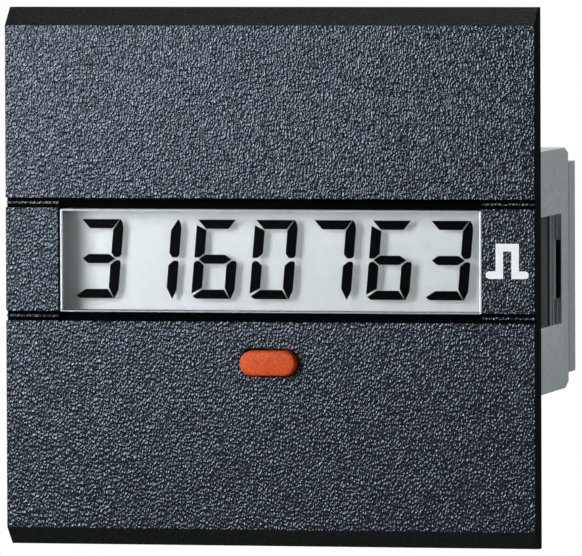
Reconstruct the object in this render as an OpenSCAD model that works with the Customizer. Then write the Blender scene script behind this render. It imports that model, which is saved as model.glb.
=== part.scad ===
// Panel-mounted hour meter and pulse counter with a liquid crystal display and a reset key.
// Millimetres. X to the viewer's right, Y back into the panel, Z up.
// The origin is the centre of the face that lies on the panel, so the front face is at -bezel_t.

/* [Front bezel] */
// Width of the front bezel
bezel_w = 48; // [44:0.1:60]
// Height of the front bezel
bezel_h = 48; // [40:0.5:60]
// Thickness of the bezel in front of the panel
bezel_t = 3.15; // [3.1:0.05:5]
// Thickness of the moulded front plate
plate_t = 2; // [1.9:0.05:2.4]
// Thickness of the rim that lies on the panel
rim_t = 1.3; // [0.8:0.05:2]
// Gap between the rim and the body
rim_gap = 0.2; // [0.1:0.02:0.4]
// Height of the bevels along the top and bottom edges
bevel_h = 1.6; // [0.5:0.1:2.5]
// Depth of those bevels
bevel_d = 2; // [0.5:0.1:2.5]
// Chamfer on the upright front edges
edge_chamfer = 0.12; // [0.05:0.01:0.3]
// Height of each stepped channel across the front
channel_h = 0.88; // [0.7:0.02:1.4]
// Depth of those channels beside the window
channel_d = 0.6; // [0.4:0.05:0.8]
// Depth of those channels along the window
window_channel_d = 0.95; // [0.8:0.05:1]
// Height of the ridge inside each channel
ridge_h = 0.25; // [0.1:0.01:0.4]
// Depth of the ridge's crest below the front face
ridge_drop = 0.25; // [0.1:0.05:0.35]
// Thickness of the ribs on the back of the front plate
back_rib_t = 1; // [0.6:0.1:2]
// Distance of those ribs from the middle
back_rib_x = 12; // [8:0.5:18]

/* [Window and display] */
// Width of the plain band on each side of the window
side_band_w = 4.88; // [4.4:0.02:6]
// Gap between the window and its opening
window_gap = 0.1; // [0.05:0.01:0.16]
// Height by which the front glass is hidden above and below the window
window_ledge = 2.12; // [1.8:0.02:2.6]
// How far the window reaches into each channel
channel_overlap = 0.07; // [0:0.01:0.2]
// How far the window's centre lies below the display's
window_drop = 0.06; // [0:0.01:0.2]
// Depth of the window's face below the front face
window_recess = 0.3; // [0.1:0.02:0.34]
// Thickness of the window
window_t = 1.2; // [0.9:0.05:1.2]
// Width of the lips that hold the window behind the band
lip_w = 0.6; // [0.3:0.05:0.7]
// Thickness of those lips
lip_t = 0.5; // [0.3:0.05:0.6]
// Thickness of each display glass
glass_t = 0.7; // [0.4:0.05:0.8]
// Height of the front glass beyond the rear one, above and below
glass_ledge = 1.6; // [1.5:0.05:2]
// Thickness of the front polariser film
polariser_t = 0.2; // [0.1:0.02:0.25]
// Thickness of the dark segments between the glasses
segment_t = 0.05; // [0.03:0.01:0.1]
// Thickness of the rear reflector with its polariser
reflector_t = 0.2; // [0.1:0.02:0.3]

/* [Reading] */
// Digits shown on the display
reading = [3, 1, 6, 0, 7, 6, 3];
// Plain margin of the window on each side of the digits
row_margin = 1; // [0.6:0.05:2]
// Plain margin above and below the digits
digit_margin = 1.19; // [0.8:0.01:1.6]
// Width of one digit before it is slanted
digit_w = 3.83; // [3.4:0.01:4.2]
// Slant of the digits in degrees
digit_slant = 4.9; // [0:0.1:10]
// Width of the upright segments
stroke_v = 0.84; // [0.6:0.02:1]
// Height of the level segments
stroke_h = 0.74; // [0.5:0.02:0.9]
// Gap between neighbouring segments
segment_gap = 0.13; // [0.08:0.01:0.2]
// Cut of the segments' outer corners
corner_cut = 0.3; // [0.15:0.01:0.4]
// How far the row of digits is set to the left
row_shift = 0.1; // [0:0.01:0.3]

/* [Pulse mark] */
// Width of the printed pulse mark
mark_w = 3.9; // [3:0.05:4.2]
// Height of the mark
mark_h = 3.12; // [2:0.02:5]
// Width of the mark's line
mark_line = 0.68; // [0.3:0.02:0.8]
// Width of the mark's raised step, over both legs
mark_step_w = 2.1; // [1.8:0.05:2.4]
// How far the mark's centre lies above the display's
mark_rise = 0.04; // [0:0.02:0.4]
// Thickness of the print
print_t = 0.04; // [0.02:0.01:0.08]

/* [Reset button] */
// Width of the reset button
button_w = 5.33; // [4:0.05:7]
// Height of the reset button
button_h = 2.36; // [2:0.02:2.6]
// How far the button stands out of the front face
button_proud = 1; // [0.5:0.05:1.5]
// Rounding of the button's front edge
button_round = 0.45; // [0.1:0.05:0.9]
// Gap around the button in its hole
button_gap = 0.1; // [0.05:0.01:0.15]
// Width of the collar that keeps the button in, on each side
collar_w = 0.45; // [0.3:0.05:0.5]
// Thickness of that collar
collar_t = 0.5; // [0.3:0.05:0.5]
// Diameter of the button's stem
stem_d = 1.8; // [1:0.1:2]
// Travel of the reset button
button_travel = 0.3; // [0.1:0.02:0.36]

/* [Rear housing] */
// Height of the body, for a 22.2 mm cut-out
body_h = 21.8; // [20:0.05:25]
// Thickness of the housing's walls
wall_t = 1.2; // [1:0.05:1.2]
// Height of the chamfers at the housing's rear end
end_chamfer_h = 0.5; // [0.2:0.05:0.8]
// Depth of those chamfers
end_chamfer_d = 1.6; // [0.5:0.1:2.2]
// Height of the channel along each side
side_channel_h = 10; // [9:0.1:11]
// Depth of the side channels
side_channel_t = 1.2; // [1.1:0.05:1.3]
// Wall left under a side channel
channel_wall_t = 1; // [0.9:0.02:1.04]
// Height of the slots in the side channels
slot_h = 5.4; // [4:0.1:7]
// Depth of the ridges' crests below the body's side
ridge_low = 0.2; // [0.1:0.02:0.4]
// Width of the wide ridge across the channel, front to back
wide_ridge_w = 1.95; // [1.8:0.05:2.1]
// Width of the wide ridge where it covers the tongue's tail
tail_cover_w = 2.75; // [2.6:0.05:2.8]
// Width of the narrow ridge
narrow_ridge_w = 0.4; // [0.3:0.05:0.5]
// Distance from the narrow ridge to the channel's end
hook_gap = 0.95; // [0.85:0.05:1.1]
// Distance from the wide ridge to the narrow ridge
ridge_gap = 1.3; // [1.2:0.05:1.4]
// Gap between the boards and the walls round them
board_gap = 0.2; // [0.1:0.02:0.3]
// Width of the corner posts that keep the two boards apart
post_w = 2.2; // [1.8:0.1:2.6]

/* [Snap tongues] */
// Length of the black tongue behind the panel face
tongue_l = 12.4; // [10:0.1:16]
// Distance from the tongue's end to the wide ridge
tongue_end_gap = 1; // [0.5:0.1:2]
// Thickness of the tongue
tongue_t = 0.8; // [0.6:0.02:0.9]
// Gap around the tongue and its hook
tongue_gap = 0.1; // [0.05:0.01:0.12]
// Thickness of the tail under the wide ridge
tail_t = 0.65; // [0.5:0.01:0.68]
// Front-to-back size of the hook at the tail's end
hook_t = 1.2; // [0.9:0.05:1.2]
// Depth of the hook below the body's side
hook_low = 0.08; // [0.05:0.01:0.15]

/* [Rear cover] */
// How far the cover is set in from the housing, above and below
cover_step = 1.35; // [1.25:0.05:3]
// Depth of the cover behind the housing
cover_d = 3.3; // [3:0.1:6]
// Length of the cover's lip inside the housing
cover_lip_l = 1.4; // [0.8:0.1:1.5]
// Gap between the supply board and the cover's lip
seat_gap = 0.2; // [0.1:0.02:0.5]
// Thickness of the cover's lip
cover_lip_t = 1; // [0.8:0.05:1.2]
// Gap between the cover's lip and the housing
cover_gap = 0.12; // [0.05:0.01:0.15]
// Width of the shadow gap round the cover's front edge
shadow_gap = 0.3; // [0.1:0.02:0.5]
// Thickness of the barriers between the terminals
barrier_t = 1; // [0.6:0.05:1.6]
// Height of those barriers out of the rear face
barrier_d = 1.2; // [0.5:0.1:3]
// Length of those barriers
barrier_h = 10; // [7:0.2:14]

/* [Terminals] */
// Number of blade terminals
blade_count = 6; // [6]
// Distance from the outer blades to the supply board's side edges
blade_edge = 2.6; // [1.8:0.1:4]
// Width of a blade
blade_w = 6.3; // [6.2:0.05:6.4]
// Thickness of a blade
blade_t = 0.8; // [0.5:0.05:1]
// Length of the blades behind the cover
blade_l = 8; // [6:0.1:10]
// Taper at a blade's tip
blade_taper = 0.7; // [0.3:0.05:1.2]
// Diameter of the latch hole in a blade
blade_hole_d = 1.65; // [1:0.05:2]
// Distance of that hole from the tip
blade_hole_l = 3.6; // [2.5:0.1:5]
// Width of a blade's solder legs
leg_w = 1; // [0.8:0.05:1.2]
// Distance of the solder legs from the blade's centre line
leg_z = 2.2; // [2:0.05:2.3]
// Gap round a blade or a leg in its slot
blade_gap = 0.12; // [0.05:0.01:0.18]

/* [Circuit boards] */
// Thickness of the display board
display_board_t = 1.2; // [0.8:0.05:1.6]
// How far the supply board is set in from the display board, above and below
supply_step = 1.5; // [1:0.1:2.5]
// Thickness of the supply board
supply_board_t = 1.6; // [1:0.05:1.6]
// Depth of the display holder between the glass and the board
holder_d = 5; // [4.4:0.1:6]
// Distance from the holder to the display board's upper edge
holder_top = 0.79; // [0.5:0.01:1.5]
// Height left below the holder for the reset key
key_zone_h = 3.91; // [3.8:0.01:5]
// Width of the holder's rim round the front glass
holder_rim = 0.35; // [0.2:0.01:0.5]
// Thickness of each elastomer strip
zebra_t = 1.2; // [0.9:0.05:1.3]
// Distance from the strips' ends to the glass's ends
zebra_inset = 0.9; // [0.5:0.05:2]
// Diameter of the pegs that locate the display board
peg_d = 1.6; // [1:0.1:1.8]
// Gap around pegs, pins and leads in their holes
hole_gap = 0.06; // [0.03:0.01:0.1]
// Number of link pins between the boards
link_count = 5; // [5]
// Distance from one link pin to the next
link_pitch = 2.54; // [2.5:0.01:2.6]
// Side of a link pin
link_side = 0.64; // [0.5:0.01:0.7]
// How far leads and pins stand out of a board
lead_stub = 0.6; // [0.3:0.05:0.8]

/* [Components] */
// Side of the square controller chip
chip_side = 10; // [8:0.1:11]
// Thickness of the controller chip
chip_t = 1.5; // [1:0.05:1.8]
// Number of leads on each side of the controller
chip_leads = 12; // [4:1:14]
// Distance from one chip lead to the next
chip_pitch = 0.65; // [0.5:0.01:0.65]
// Free height round the filter capacitor's can, above and below
capacitor_margin = 0.68; // [0.5:0.02:2]
// Gap between the filter capacitor and the chips in front of it
capacitor_gap = 1.2; // [0.4:0.1:4]
// Thickness of the capacitor's sleeve
sleeve_t = 0.15; // [0.08:0.01:0.2]
// Width of the bridge rectifier
bridge_w = 8.5; // [7:0.1:9]
// Width of each optocoupler
opto_w = 4.6; // [4:0.1:5]
// Height of the dual in-line bodies between their lead rows
dip_h = 6.4; // [6:0.05:6.6]
// Thickness of the dual in-line bodies
dip_t = 3.3; // [2.5:0.1:3.6]
// Diameter of the surge varistor
varistor_d = 7; // [5:0.1:7.4]
// Thickness of the surge varistor
varistor_t = 3.4; // [2:0.1:4]
// Width of the film capacitor
film_w = 2.5; // [2:0.1:3]
// Free height round the film capacitor, above and below
film_margin = 0.3; // [0.2:0.05:2]
// Length of the film capacitor away from its board
film_l = 6.5; // [4:0.1:8]
// Diameter of the resistors
resistor_d = 1.7; // [1.2:0.05:1.9]
// Length of the resistors
resistor_l = 3.6; // [3:0.1:4]
// Diameter of round leads
lead_d = 0.5; // [0.4:0.01:0.6]
// Diameter of the clock crystal's can
crystal_d = 2; // [1.5:0.1:2.4]
// Length of the clock crystal's can
crystal_l = 6; // [4:0.1:7]

/* [Hidden] */
$fn = 64;
// Overshoot of a cut past the face that it opens
eps = 0.5;
// Small gap that keeps neighbouring pieces apart
fit_gap = 0.05;

// Widths, from the bezel inwards
bezel_x = bezel_w / 2;
bezel_z = bezel_h / 2;
rim_x = bezel_x - rim_t;
rim_z = bezel_z - rim_t;
side_x = rim_x - rim_gap;
floor_x = side_x - side_channel_t;
inner_x = side_x - wall_t;
inner_side_x = floor_x - channel_wall_t;
board_x = inner_side_x - board_gap;
glass_x = board_x - board_gap;
window_x = bezel_x - side_band_w;
opening_x = window_x + window_gap;
mark_x = bezel_x - side_band_w / 2;

// Heights, from the body inwards
body_z = body_h / 2;
inner_z = body_z - wall_t;
board_z = inner_z - board_gap;
supply_z = board_z - supply_step;
holder_h = 2 * board_z - holder_top - key_zone_h;
display_z = board_z - holder_top - holder_h / 2;
front_glass_h = holder_h - 2 * holder_rim;
rear_glass_h = front_glass_h - 2 * glass_ledge;
window_h = front_glass_h - 2 * window_ledge;
window_z = display_z - window_drop;
opening_h = window_h + 2 * window_gap;
band_top = display_z + window_h / 2 - channel_overlap;
band_bottom = display_z - window_h / 2 + channel_overlap;
mark_z = display_z + mark_rise;

// Row of digits
digit_h = window_h - 2 * digit_margin;
digit_lean = tan(digit_slant);
row_w = 2 * (window_x - row_margin);
digit_pitch = (row_w - digit_w - digit_h * digit_lean) / (len(reading) - 1);

// Front bezel
front_y = -bezel_t;
plate_y = front_y + plate_t;
rail_x = [6, inner_side_x - 3.3];
rail_t = 0.7;
rail_back = 2;
rib_back = -0.3;

// Window and display stack, front to back
window_y = front_y + window_recess;
window_back_y = window_y + window_t;
polariser_y = window_back_y + 0.15;
glass_y = polariser_y + polariser_t;
segment_y = glass_y + glass_t;
rear_glass_y = segment_y + segment_t;
reflector_y = rear_glass_y + glass_t;
reflector_back_y = reflector_y + reflector_t;
pocket_gap = 0.15;
pocket_y = polariser_y - fit_gap;

// Display holder and display board
holder_y = segment_y + fit_gap;
display_board_y = holder_y + holder_d;
display_board_back = display_board_y + display_board_t;
zebra_offset = (front_glass_h - glass_ledge) / 2;
zebra_gap = 0.05;
zebra_x = glass_x - zebra_inset;
peg_x = board_x - 1.6;

// Depths of the side channel, the supply board and the housing's end
joggle_y = tongue_l - 2.4;
wide_ridge_y = tongue_l + tongue_end_gap;
narrow_ridge_y = wide_ridge_y + wide_ridge_w + ridge_gap;
channel_end = narrow_ridge_y + narrow_ridge_w + hook_gap;
tail_x = inner_side_x + tongue_gap;
supply_board_y = channel_end;
supply_board_back = supply_board_y + supply_board_t;
body_end = supply_board_back + seat_gap + cover_lip_l;
post_h = inner_z - supply_z + 0.5;

// Rear cover and blades
cover_z = body_z - cover_step;
cover_back = body_end + cover_d;
cover_lip_x = inner_x - cover_gap;
cover_lip_z = cover_z - fit_gap;
blade_tip = cover_back + blade_l;
blade_root = supply_board_back + lead_stub;
blade_pitch = 2 * (board_x - blade_edge) / (blade_count - 1);
function blade_x(i) = i * blade_pitch - board_x + blade_edge;

// Reset button and its key switch
switch_w = 6;
switch_h = 3.5;
switch_cover_t = 0.3;
switch_edge = 0.25;
switch_leg = 0.15;
switch_leg_w = 0.8;
switch_z = -board_z + switch_edge + switch_h / 2;
button_z = switch_z;
collar_y = plate_y + fit_gap;
switch_front = display_board_y - 2.3;
plunger_front = switch_front - 1.2;
plunger_d = 1.7;
plunger_foot_d = 2.6;
plunger_foot_t = 0.35;
plunger_foot_y = switch_front + switch_cover_t + 0.02;
cavity_d = 3;
cavity_floor = display_board_y - 0.6;
dome_crown = plunger_foot_y + plunger_foot_t + button_travel + 0.03;
dome_t = 0.1;

// Link between the boards
link_z = -supply_z + 0.8;
link_x = -board_x + 9.68;
spacer_side = 2.5;
function link_pin_x(i) = link_x + (i - (link_count - 1) / 2) * link_pitch;

// Upper row on the supply board, left to right
chip_lift = 0.1;
standoff = 0.5;
component_back = supply_board_y - standoff;
dip_z = supply_z - 4.4;
dip_row = 3.81;
dip_lead_w = 0.5;
dip_lead_t = 0.25;
part_gap = 0.45;
bridge_pitch = 5.1;
opto_pitch = 2.54;
varistor_pitch = 5;
regulator_d = 4.6;
regulator_l = 4.6;
regulator_lift = 1.5;
bridge_x = -board_x + 6.1;
regulator_x = bridge_x + (bridge_w + regulator_d) / 2 + part_gap;
varistor_x = board_x - 6.1;
opto_gap = (varistor_x - regulator_x - (varistor_t + regulator_d) / 2 - 2 * opto_w) / 3;
opto_count_x = regulator_x + (regulator_d + opto_w) / 2 + opto_gap;
opto_reset_x = opto_count_x + opto_w + opto_gap;

// Lower row, in the room below the upper one
lower_room_h = dip_z - dip_row - dip_lead_t / 2 + supply_z;
lower_z = -supply_z + lower_room_h / 2;
film_h = lower_room_h - 2 * film_margin;
film_x = board_x - 10.5;
film_pitch = 5;
capacitor_d = lower_room_h - 2 * capacitor_margin;
capacitor_front = display_board_back + chip_lift + chip_t + capacitor_gap;
capacitor_x = film_x - film_w / 2 - 4 * part_gap - sleeve_t - capacitor_d / 2;
capacitor_pitch = 2.5;
resistor_pitch = 6;
resistor_x = [-board_x + 9.1, board_x - 4];
resistor_low_z = link_z + (link_side + resistor_d) / 2 + 0.3;
resistor_sites = [for (x = resistor_x, i = [0, 1]) [x, resistor_low_z + i * (resistor_d + 0.15)]];

// Display board's parts, placed from the board's edges
controller_x = board_x - 15.6;
controller_z = board_z - 8.3;
gull_run = 1.1;
memory_x = -board_x + 11.6;
memory_z = board_z - 5.1;
memory_w = 3.9;
memory_h = 4.9;
memory_t = 1.4;
memory_pitch = 1.27;
crystal_x = board_x - 7.9;
crystal_z = board_z - 1.9;
crystal_pitch = 0.7;
crystal_lead_d = 0.25;
chip_part = [1.25, 2];
chip_capacitor_t = 0.85;
chip_resistor_t = 0.5;
beside_x = chip_side / 2 + gull_run + 1.2;
chip_capacitor_sites = [
    [controller_x - beside_x, controller_z - 2.1], [controller_x - beside_x, controller_z - 4.7],
    [memory_x, memory_z + (memory_h + chip_part[1]) / 2 + 0.35],
    [controller_x + beside_x, controller_z + 3.4], [controller_x + beside_x, controller_z - 4.4]];
chip_resistor_x = [for (i = [0:2]) -board_x + 3.6 + 2 * i];
chip_resistor_z = [board_z - 11.1, board_z - 5.5];

// Round lead holes in the supply board, each as [x, z]
regulator_ends = [for (s = [-1, 0, 1]) [regulator_x + s * 1.27, dip_z]];
varistor_ends = [for (s = [-1, 1]) [varistor_x, dip_z + s * varistor_pitch / 2]];
capacitor_ends = [for (s = [-1, 1]) [capacitor_x + s * capacitor_pitch / 2, lower_z]];
film_ends = [for (s = [-1, 1]) [film_x, lower_z + s * film_pitch / 2]];
resistor_ends = [for (p = resistor_sites, s = [-1, 1]) [p[0] + s * resistor_pitch / 2, p[1]]];
round_ends = concat(regulator_ends, varistor_ends, capacitor_ends, film_ends, resistor_ends);
dip_ends = [for (s = [-1, 1], r = [-1, 1]) each [
    [bridge_x + s * bridge_pitch / 2, dip_z + r * dip_row],
    [opto_count_x + s * opto_pitch / 2, dip_z + r * dip_row],
    [opto_reset_x + s * opto_pitch / 2, dip_z + r * dip_row]]];

// General shapes

// A box from one corner to the opposite one
module block(x, y, z) translate([x[0], y[0], z[0]]) cube([x[1] - x[0], y[1] - y[0], z[1] - z[0]]);

// An outline drawn in x and z, extruded from depth y0 back to y1
module along_y(y0, y1) translate([0, y1, 0]) rotate([90, 0, 0]) linear_extrude(y1 - y0) children();

// An outline drawn in y and z, extruded along x
module along_x(x0, x1) translate([x0, 0, 0]) rotate([90, 0, 90]) linear_extrude(x1 - x0) children();

// A round bar along y
module rod(d, y0, y1, x, z) translate([x, y1, z]) rotate([90, 0, 0]) cylinder(d = d, h = y1 - y0);

// The outline of a bar with round ends
module stadium(w, h) {
    for (s = [-1, 1]) translate([s * (w - h) / 2, 0]) circle(d = h);
    square([w - h, h], center = true);
}

// Half the section of a round-edged button: radius to the right, length upwards
module round_section(r, l, edge) {
    square([r - edge, l]);
    square([r, l - edge]);
    translate([r - edge, l - edge]) circle(r = edge);
}

// The children, and their mirror image in x
module both_sides() {
    children();
    mirror([1, 0, 0]) children();
}

// Front bezel

module bezel_profile() polygon([
    [front_y, -bezel_z + bevel_h], [front_y, bezel_z - bevel_h],
    [front_y + bevel_d, bezel_z], [0, bezel_z],
    [0, -bezel_z], [front_y + bevel_d, -bezel_z]]);

module bezel_plan() polygon([
    [-bezel_x + edge_chamfer, front_y], [bezel_x - edge_chamfer, front_y],
    [bezel_x, front_y + edge_chamfer], [bezel_x, 0],
    [-bezel_x, 0], [-bezel_x, front_y + edge_chamfer]]);

// One stepped channel, with its ridge outside the window's width
module front_channel(z0) {
    ridge_z = z0 + (channel_h - ridge_h) / 2;
    difference() {
        union() {
            block([-bezel_x - eps, bezel_x + eps], [front_y - eps, front_y + channel_d],
                [z0, z0 + channel_h]);
            block([-opening_x, opening_x], [front_y - eps, front_y + window_channel_d],
                [z0, z0 + channel_h]);
        }
        both_sides() block([opening_x, bezel_x + 2 * eps],
            [front_y + ridge_drop, front_y + channel_d + eps], [ridge_z, ridge_z + ridge_h]);
    }
}

module window_opening() {
    block([-opening_x, opening_x], [front_y - eps, plate_y + eps],
        [window_z - opening_h / 2, window_z + opening_h / 2]);
    // seat of the window's lips
    lip_half = window_x + lip_w + window_gap;
    block([-lip_half, lip_half], [window_back_y - lip_t - 0.05, plate_y + eps],
        [window_z - opening_h / 2, window_z + opening_h / 2]);
    // pocket of the display glass
    pocket_x = glass_x + pocket_gap;
    pocket_z = front_glass_h / 2 + pocket_gap;
    block([-pocket_x, pocket_x], [pocket_y, plate_y + eps],
        [display_z - pocket_z, display_z + pocket_z]);
}

// Tongue in the side channel, with a tail under the wide ridge and a hook behind it
module snap_tongue() {
    outer = floor_x + tongue_gap + tongue_t;
    tongue_z = side_channel_h / 2 - tongue_gap;
    tail_z = slot_h / 2 - tongue_gap;
    hook_y = channel_end - tongue_gap - hook_t;
    block([floor_x + tongue_gap, outer], [plate_y, tongue_l], [-tongue_z, tongue_z]);
    block([tail_x, outer], [joggle_y, tongue_l], [-tail_z, tail_z]);
    block([tail_x, tail_x + tail_t], [joggle_y, hook_y + hook_t], [-tail_z, tail_z]);
    block([tail_x, side_x - hook_low], [hook_y, hook_y + hook_t], [-tail_z, tail_z]);
}

// Guide rails inside the housing's top and bottom walls
module guide_rails() {
    rail_z = inner_z - board_gap;
    block([-rail_x[1], rail_x[1]], [plate_y, rail_back], [rail_z - rail_t, rail_z]);
    both_sides() block(rail_x, [plate_y, rail_back], [-rail_z, -rail_z + rail_t]);
}

module back_ribs() {
    both_sides() for (m = [0, 1]) mirror([0, 0, m])
        block([back_rib_x - back_rib_t / 2, back_rib_x + back_rib_t / 2],
            [plate_y, rib_back], [body_z + rim_gap, rim_z + fit_gap]);
}

module front_bezel() color([0.12, 0.125, 0.14]) {
    difference() {
        intersection() {
            along_x(-bezel_x, bezel_x) bezel_profile();
            translate([0, 0, -bezel_z]) linear_extrude(2 * bezel_z) bezel_plan();
        }
        block([-rim_x, rim_x], [plate_y, eps], [-rim_z, rim_z]);
        front_channel(band_top);
        front_channel(band_bottom - channel_h);
        window_opening();
        along_y(front_y - eps, plate_y + eps) translate([0, button_z])
            stadium(button_w + 2 * button_gap, button_h + 2 * button_gap);
    }
    both_sides() snap_tongue();
    guide_rails();
    back_ribs();
}

// Clear window with a lip at each end

module display_window() color([0.9, 0.95, 0.97, 0.35]) {
    lip_half = window_x + lip_w;
    block([-window_x, window_x], [window_y, window_back_y],
        [window_z - window_h / 2, window_z + window_h / 2]);
    block([-lip_half, lip_half], [window_back_y - lip_t, window_back_y],
        [window_z - window_h / 2, window_z + window_h / 2]);
}

// Printed sign for a pulse: a line that steps up and down again

module pulse_outline() {
    leg = mark_step_w / 2;
    translate([-leg, -mark_h / 2]) square([mark_line, mark_h]);
    translate([leg - mark_line, -mark_h / 2]) square([mark_line, mark_h]);
    translate([-leg, mark_h / 2 - mark_line]) square([mark_step_w, mark_line]);
    for (s = [-1, 1]) {
        foot_in = s * (leg - mark_line / 2);
        foot_out = s * (mark_w - mark_line) / 2;
        foot_z = -mark_h / 2 + mark_line / 2;
        translate([min(foot_in, foot_out), foot_z - mark_line / 2])
            square([abs(foot_out - foot_in), mark_line]);
        translate([foot_out, foot_z]) circle(d = mark_line);
    }
}

module pulse_mark() color([0.97, 0.97, 0.97])
    along_y(front_y - print_t, front_y) translate([mark_x, mark_z]) pulse_outline();

// Reset button, in one piece with its collar and stem

module reset_button() color([0.86, 0.3, 0.12]) {
    cap_l = button_proud + plate_t + 0.05;
    half = button_h / 2;
    translate([0, collar_y, button_z]) {
        for (s = [-1, 1]) translate([s * (button_w - button_h) / 2, 0, 0]) rotate([90, 0, 0])
            rotate_extrude() round_section(half, cap_l, button_round);
        straight = (button_w - button_h) / 2;
        translate([-straight, 0, 0]) rotate([90, 0, 90]) rotate([0, 0, 90])
            linear_extrude(2 * straight) {
                round_section(half, cap_l, button_round);
                mirror([1, 0]) round_section(half, cap_l, button_round);
            }
    }
    along_y(collar_y, collar_y + collar_t) translate([0, button_z])
        stadium(button_w + 2 * collar_w, button_h + 2 * collar_w);
    rod(stem_d, collar_y, plunger_front, 0, button_z);
}

// Display glass stack

module display_sheet(w, h, y0, t) block([-w / 2, w / 2], [y0, y0 + t],
    [display_z - h / 2, display_z + h / 2]);

module lcd_polariser() color([0.78, 0.8, 0.78, 0.5])
    display_sheet(2 * glass_x - 0.6, rear_glass_h + 0.8, polariser_y, polariser_t);

module lcd_front_glass() color([0.8, 0.86, 0.86, 0.5])
    display_sheet(2 * glass_x, front_glass_h, glass_y, glass_t);

module lcd_rear_glass() color([0.8, 0.86, 0.86, 0.5])
    display_sheet(2 * glass_x - 0.4, rear_glass_h, rear_glass_y, glass_t);

module lcd_reflector() color([0.8, 0.82, 0.82])
    display_sheet(2 * glass_x - 0.8, rear_glass_h - 0.4, reflector_y, reflector_t);

// Segments lit for each digit, in the order a, b, c, d, e, f, g
function lit(d) = [
    [1, 1, 1, 1, 1, 1, 0], [0, 1, 1, 0, 0, 0, 0], [1, 1, 0, 1, 1, 0, 1], [1, 1, 1, 1, 0, 0, 1],
    [0, 1, 1, 0, 0, 1, 1], [1, 0, 1, 1, 0, 1, 1], [1, 0, 1, 1, 1, 1, 1], [1, 1, 1, 0, 0, 0, 0],
    [1, 1, 1, 1, 1, 1, 1], [1, 1, 1, 1, 0, 1, 1]][d];

// Outline of segment s in an upright digit whose lower left corner is the origin
function segment_outline(s) = let (
    w = digit_w, h = digit_h, v = stroke_v, t = stroke_h, g = segment_gap, c = corner_cut,
    m = digit_h / 2, k = 1.4 * g, j = m - t / 2 - g - k) [
    [[g, h], [w - c - g, h], [w - v - g, h - t], [v, h - t]],
    [[w - c, h], [w - c / 3, h - c], [w, h - t], [w, m + 2 * k], [w - k, m + k],
        [w - v / 2 - g, m + k], [w - v, m + t / 2 + k], [w - v, h - t - 1.3 * g]],
    [[w - c, 0], [w - v, t + 1.6 * g], [w - v, m - t / 2 - k], [w - v / 2, m - k],
        [w - k / 2, m - k], [w, m - 2 * k], [w, t]],
    [[v + g / 2, t], [w - v - g, t], [w - c - g, 0], [c + g, 0], [g, 1.6 * g]],
    [[0, t - 2 * g], [v, t + 1.6 * g], [v, m - t / 2 - k], [v / 2, m - k], [k, m - k],
        [0, m - 2 * k]],
    [[0, h - t + 1.8 * g], [v, h - t - 1.5 * g], [v, m + t / 2 + k], [v / 2, m + k], [0, m + k]],
    [[v / 2, m], [v + g / 2, m + t / 2], [w - v - 2 * g, m + t / 2], [w - v / 2 - g, m],
        [w - v - 2 * g, m - t / 2], [v + g / 2, m - t / 2]]][s];

// The row of digits, each leaning over by the slant
module lcd_segments() color([0.04, 0.04, 0.05])
    for (i = [0:len(reading) - 1], s = [0:6]) if (lit(reading[i])[s] == 1)
        along_y(segment_y, segment_y + segment_t)
            translate([-row_shift - row_w / 2 + i * digit_pitch, display_z - digit_h / 2])
                polygon([for (p = segment_outline(s)) [p[0] + p[1] * digit_lean, p[1]]]);

// Holder that presses the glass forward and guides the elastomer strips
module lcd_holder() color([0.86, 0.86, 0.84]) {
    cavity_w = 2 * glass_x - 0.2;
    cavity_h = rear_glass_h + 0.1;
    slot_w = 2 * zebra_x + 4 * zebra_gap;
    slot_t = zebra_t + 2 * zebra_gap;
    hollow_w = 2 * peg_x - 3;
    hollow_h = rear_glass_h - 2;
    difference() {
        display_sheet(2 * board_x, holder_h, holder_y, holder_d);
        display_sheet(cavity_w, cavity_h, holder_y - eps, reflector_back_y + 0.05 - holder_y + eps);
        for (s = [-1, 1]) translate([0, 0, s * zebra_offset])
            display_sheet(slot_w, slot_t, holder_y - eps, holder_d + 2 * eps);
        display_sheet(hollow_w, hollow_h, reflector_back_y + 1.2, holder_d);
    }
    for (s = [-1, 1])
        rod(peg_d, display_board_y - 0.1, display_board_back + lead_stub, s * peg_x, display_z);
}

// Elastomer strip between the glass ledge and the board
module zebra_strip(s) color([0.75, 0.45, 0.55]) translate([0, 0, s * zebra_offset])
    display_sheet(2 * zebra_x, zebra_t, segment_y, display_board_y - segment_y);

module zebra_strip_upper() zebra_strip(1);

module zebra_strip_lower() zebra_strip(-1);

// Display board and what is soldered on it

module link_holes(y0, y1) for (i = [0:link_count - 1]) {
    half = link_side / 2 + hole_gap;
    block([link_pin_x(i) - half, link_pin_x(i) + half], [y0, y1], [link_z - half, link_z + half]);
}

module display_board() color([0.1, 0.38, 0.22]) difference() {
    block([-board_x, board_x], [display_board_y, display_board_back], [-board_z, board_z]);
    for (s = [-1, 1]) rod(peg_d + 2 * hole_gap, display_board_y - eps, display_board_back + eps,
        s * peg_x, display_z);
    link_holes(display_board_y - eps, display_board_back + eps);
}

// A flat package standing on the back of the display board
module board_chip(w, h, t, x, z, lift) block([x - w / 2, x + w / 2],
    [display_board_back + lift, display_board_back + lift + t], [z - h / 2, z + h / 2]);

// One gull-wing lead that points along +x, with its root at the package's side
module gull_lead(w, t, lift) {
    run = gull_run;
    leaf = 0.15;
    bend = run - 4 * leaf;
    mid = lift + t / 2;
    translate([0, 0, -w / 2]) linear_extrude(w) polygon([
        [0, mid], [bend - leaf, mid], [bend, leaf], [bend, 0], [run, 0], [run, leaf],
        [bend + leaf, leaf], [bend, mid + leaf], [0, mid + leaf]]);
}

module controller_chip() color([0.09, 0.09, 0.1])
    board_chip(chip_side, chip_side, chip_t, controller_x, controller_z, chip_lift);

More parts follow.
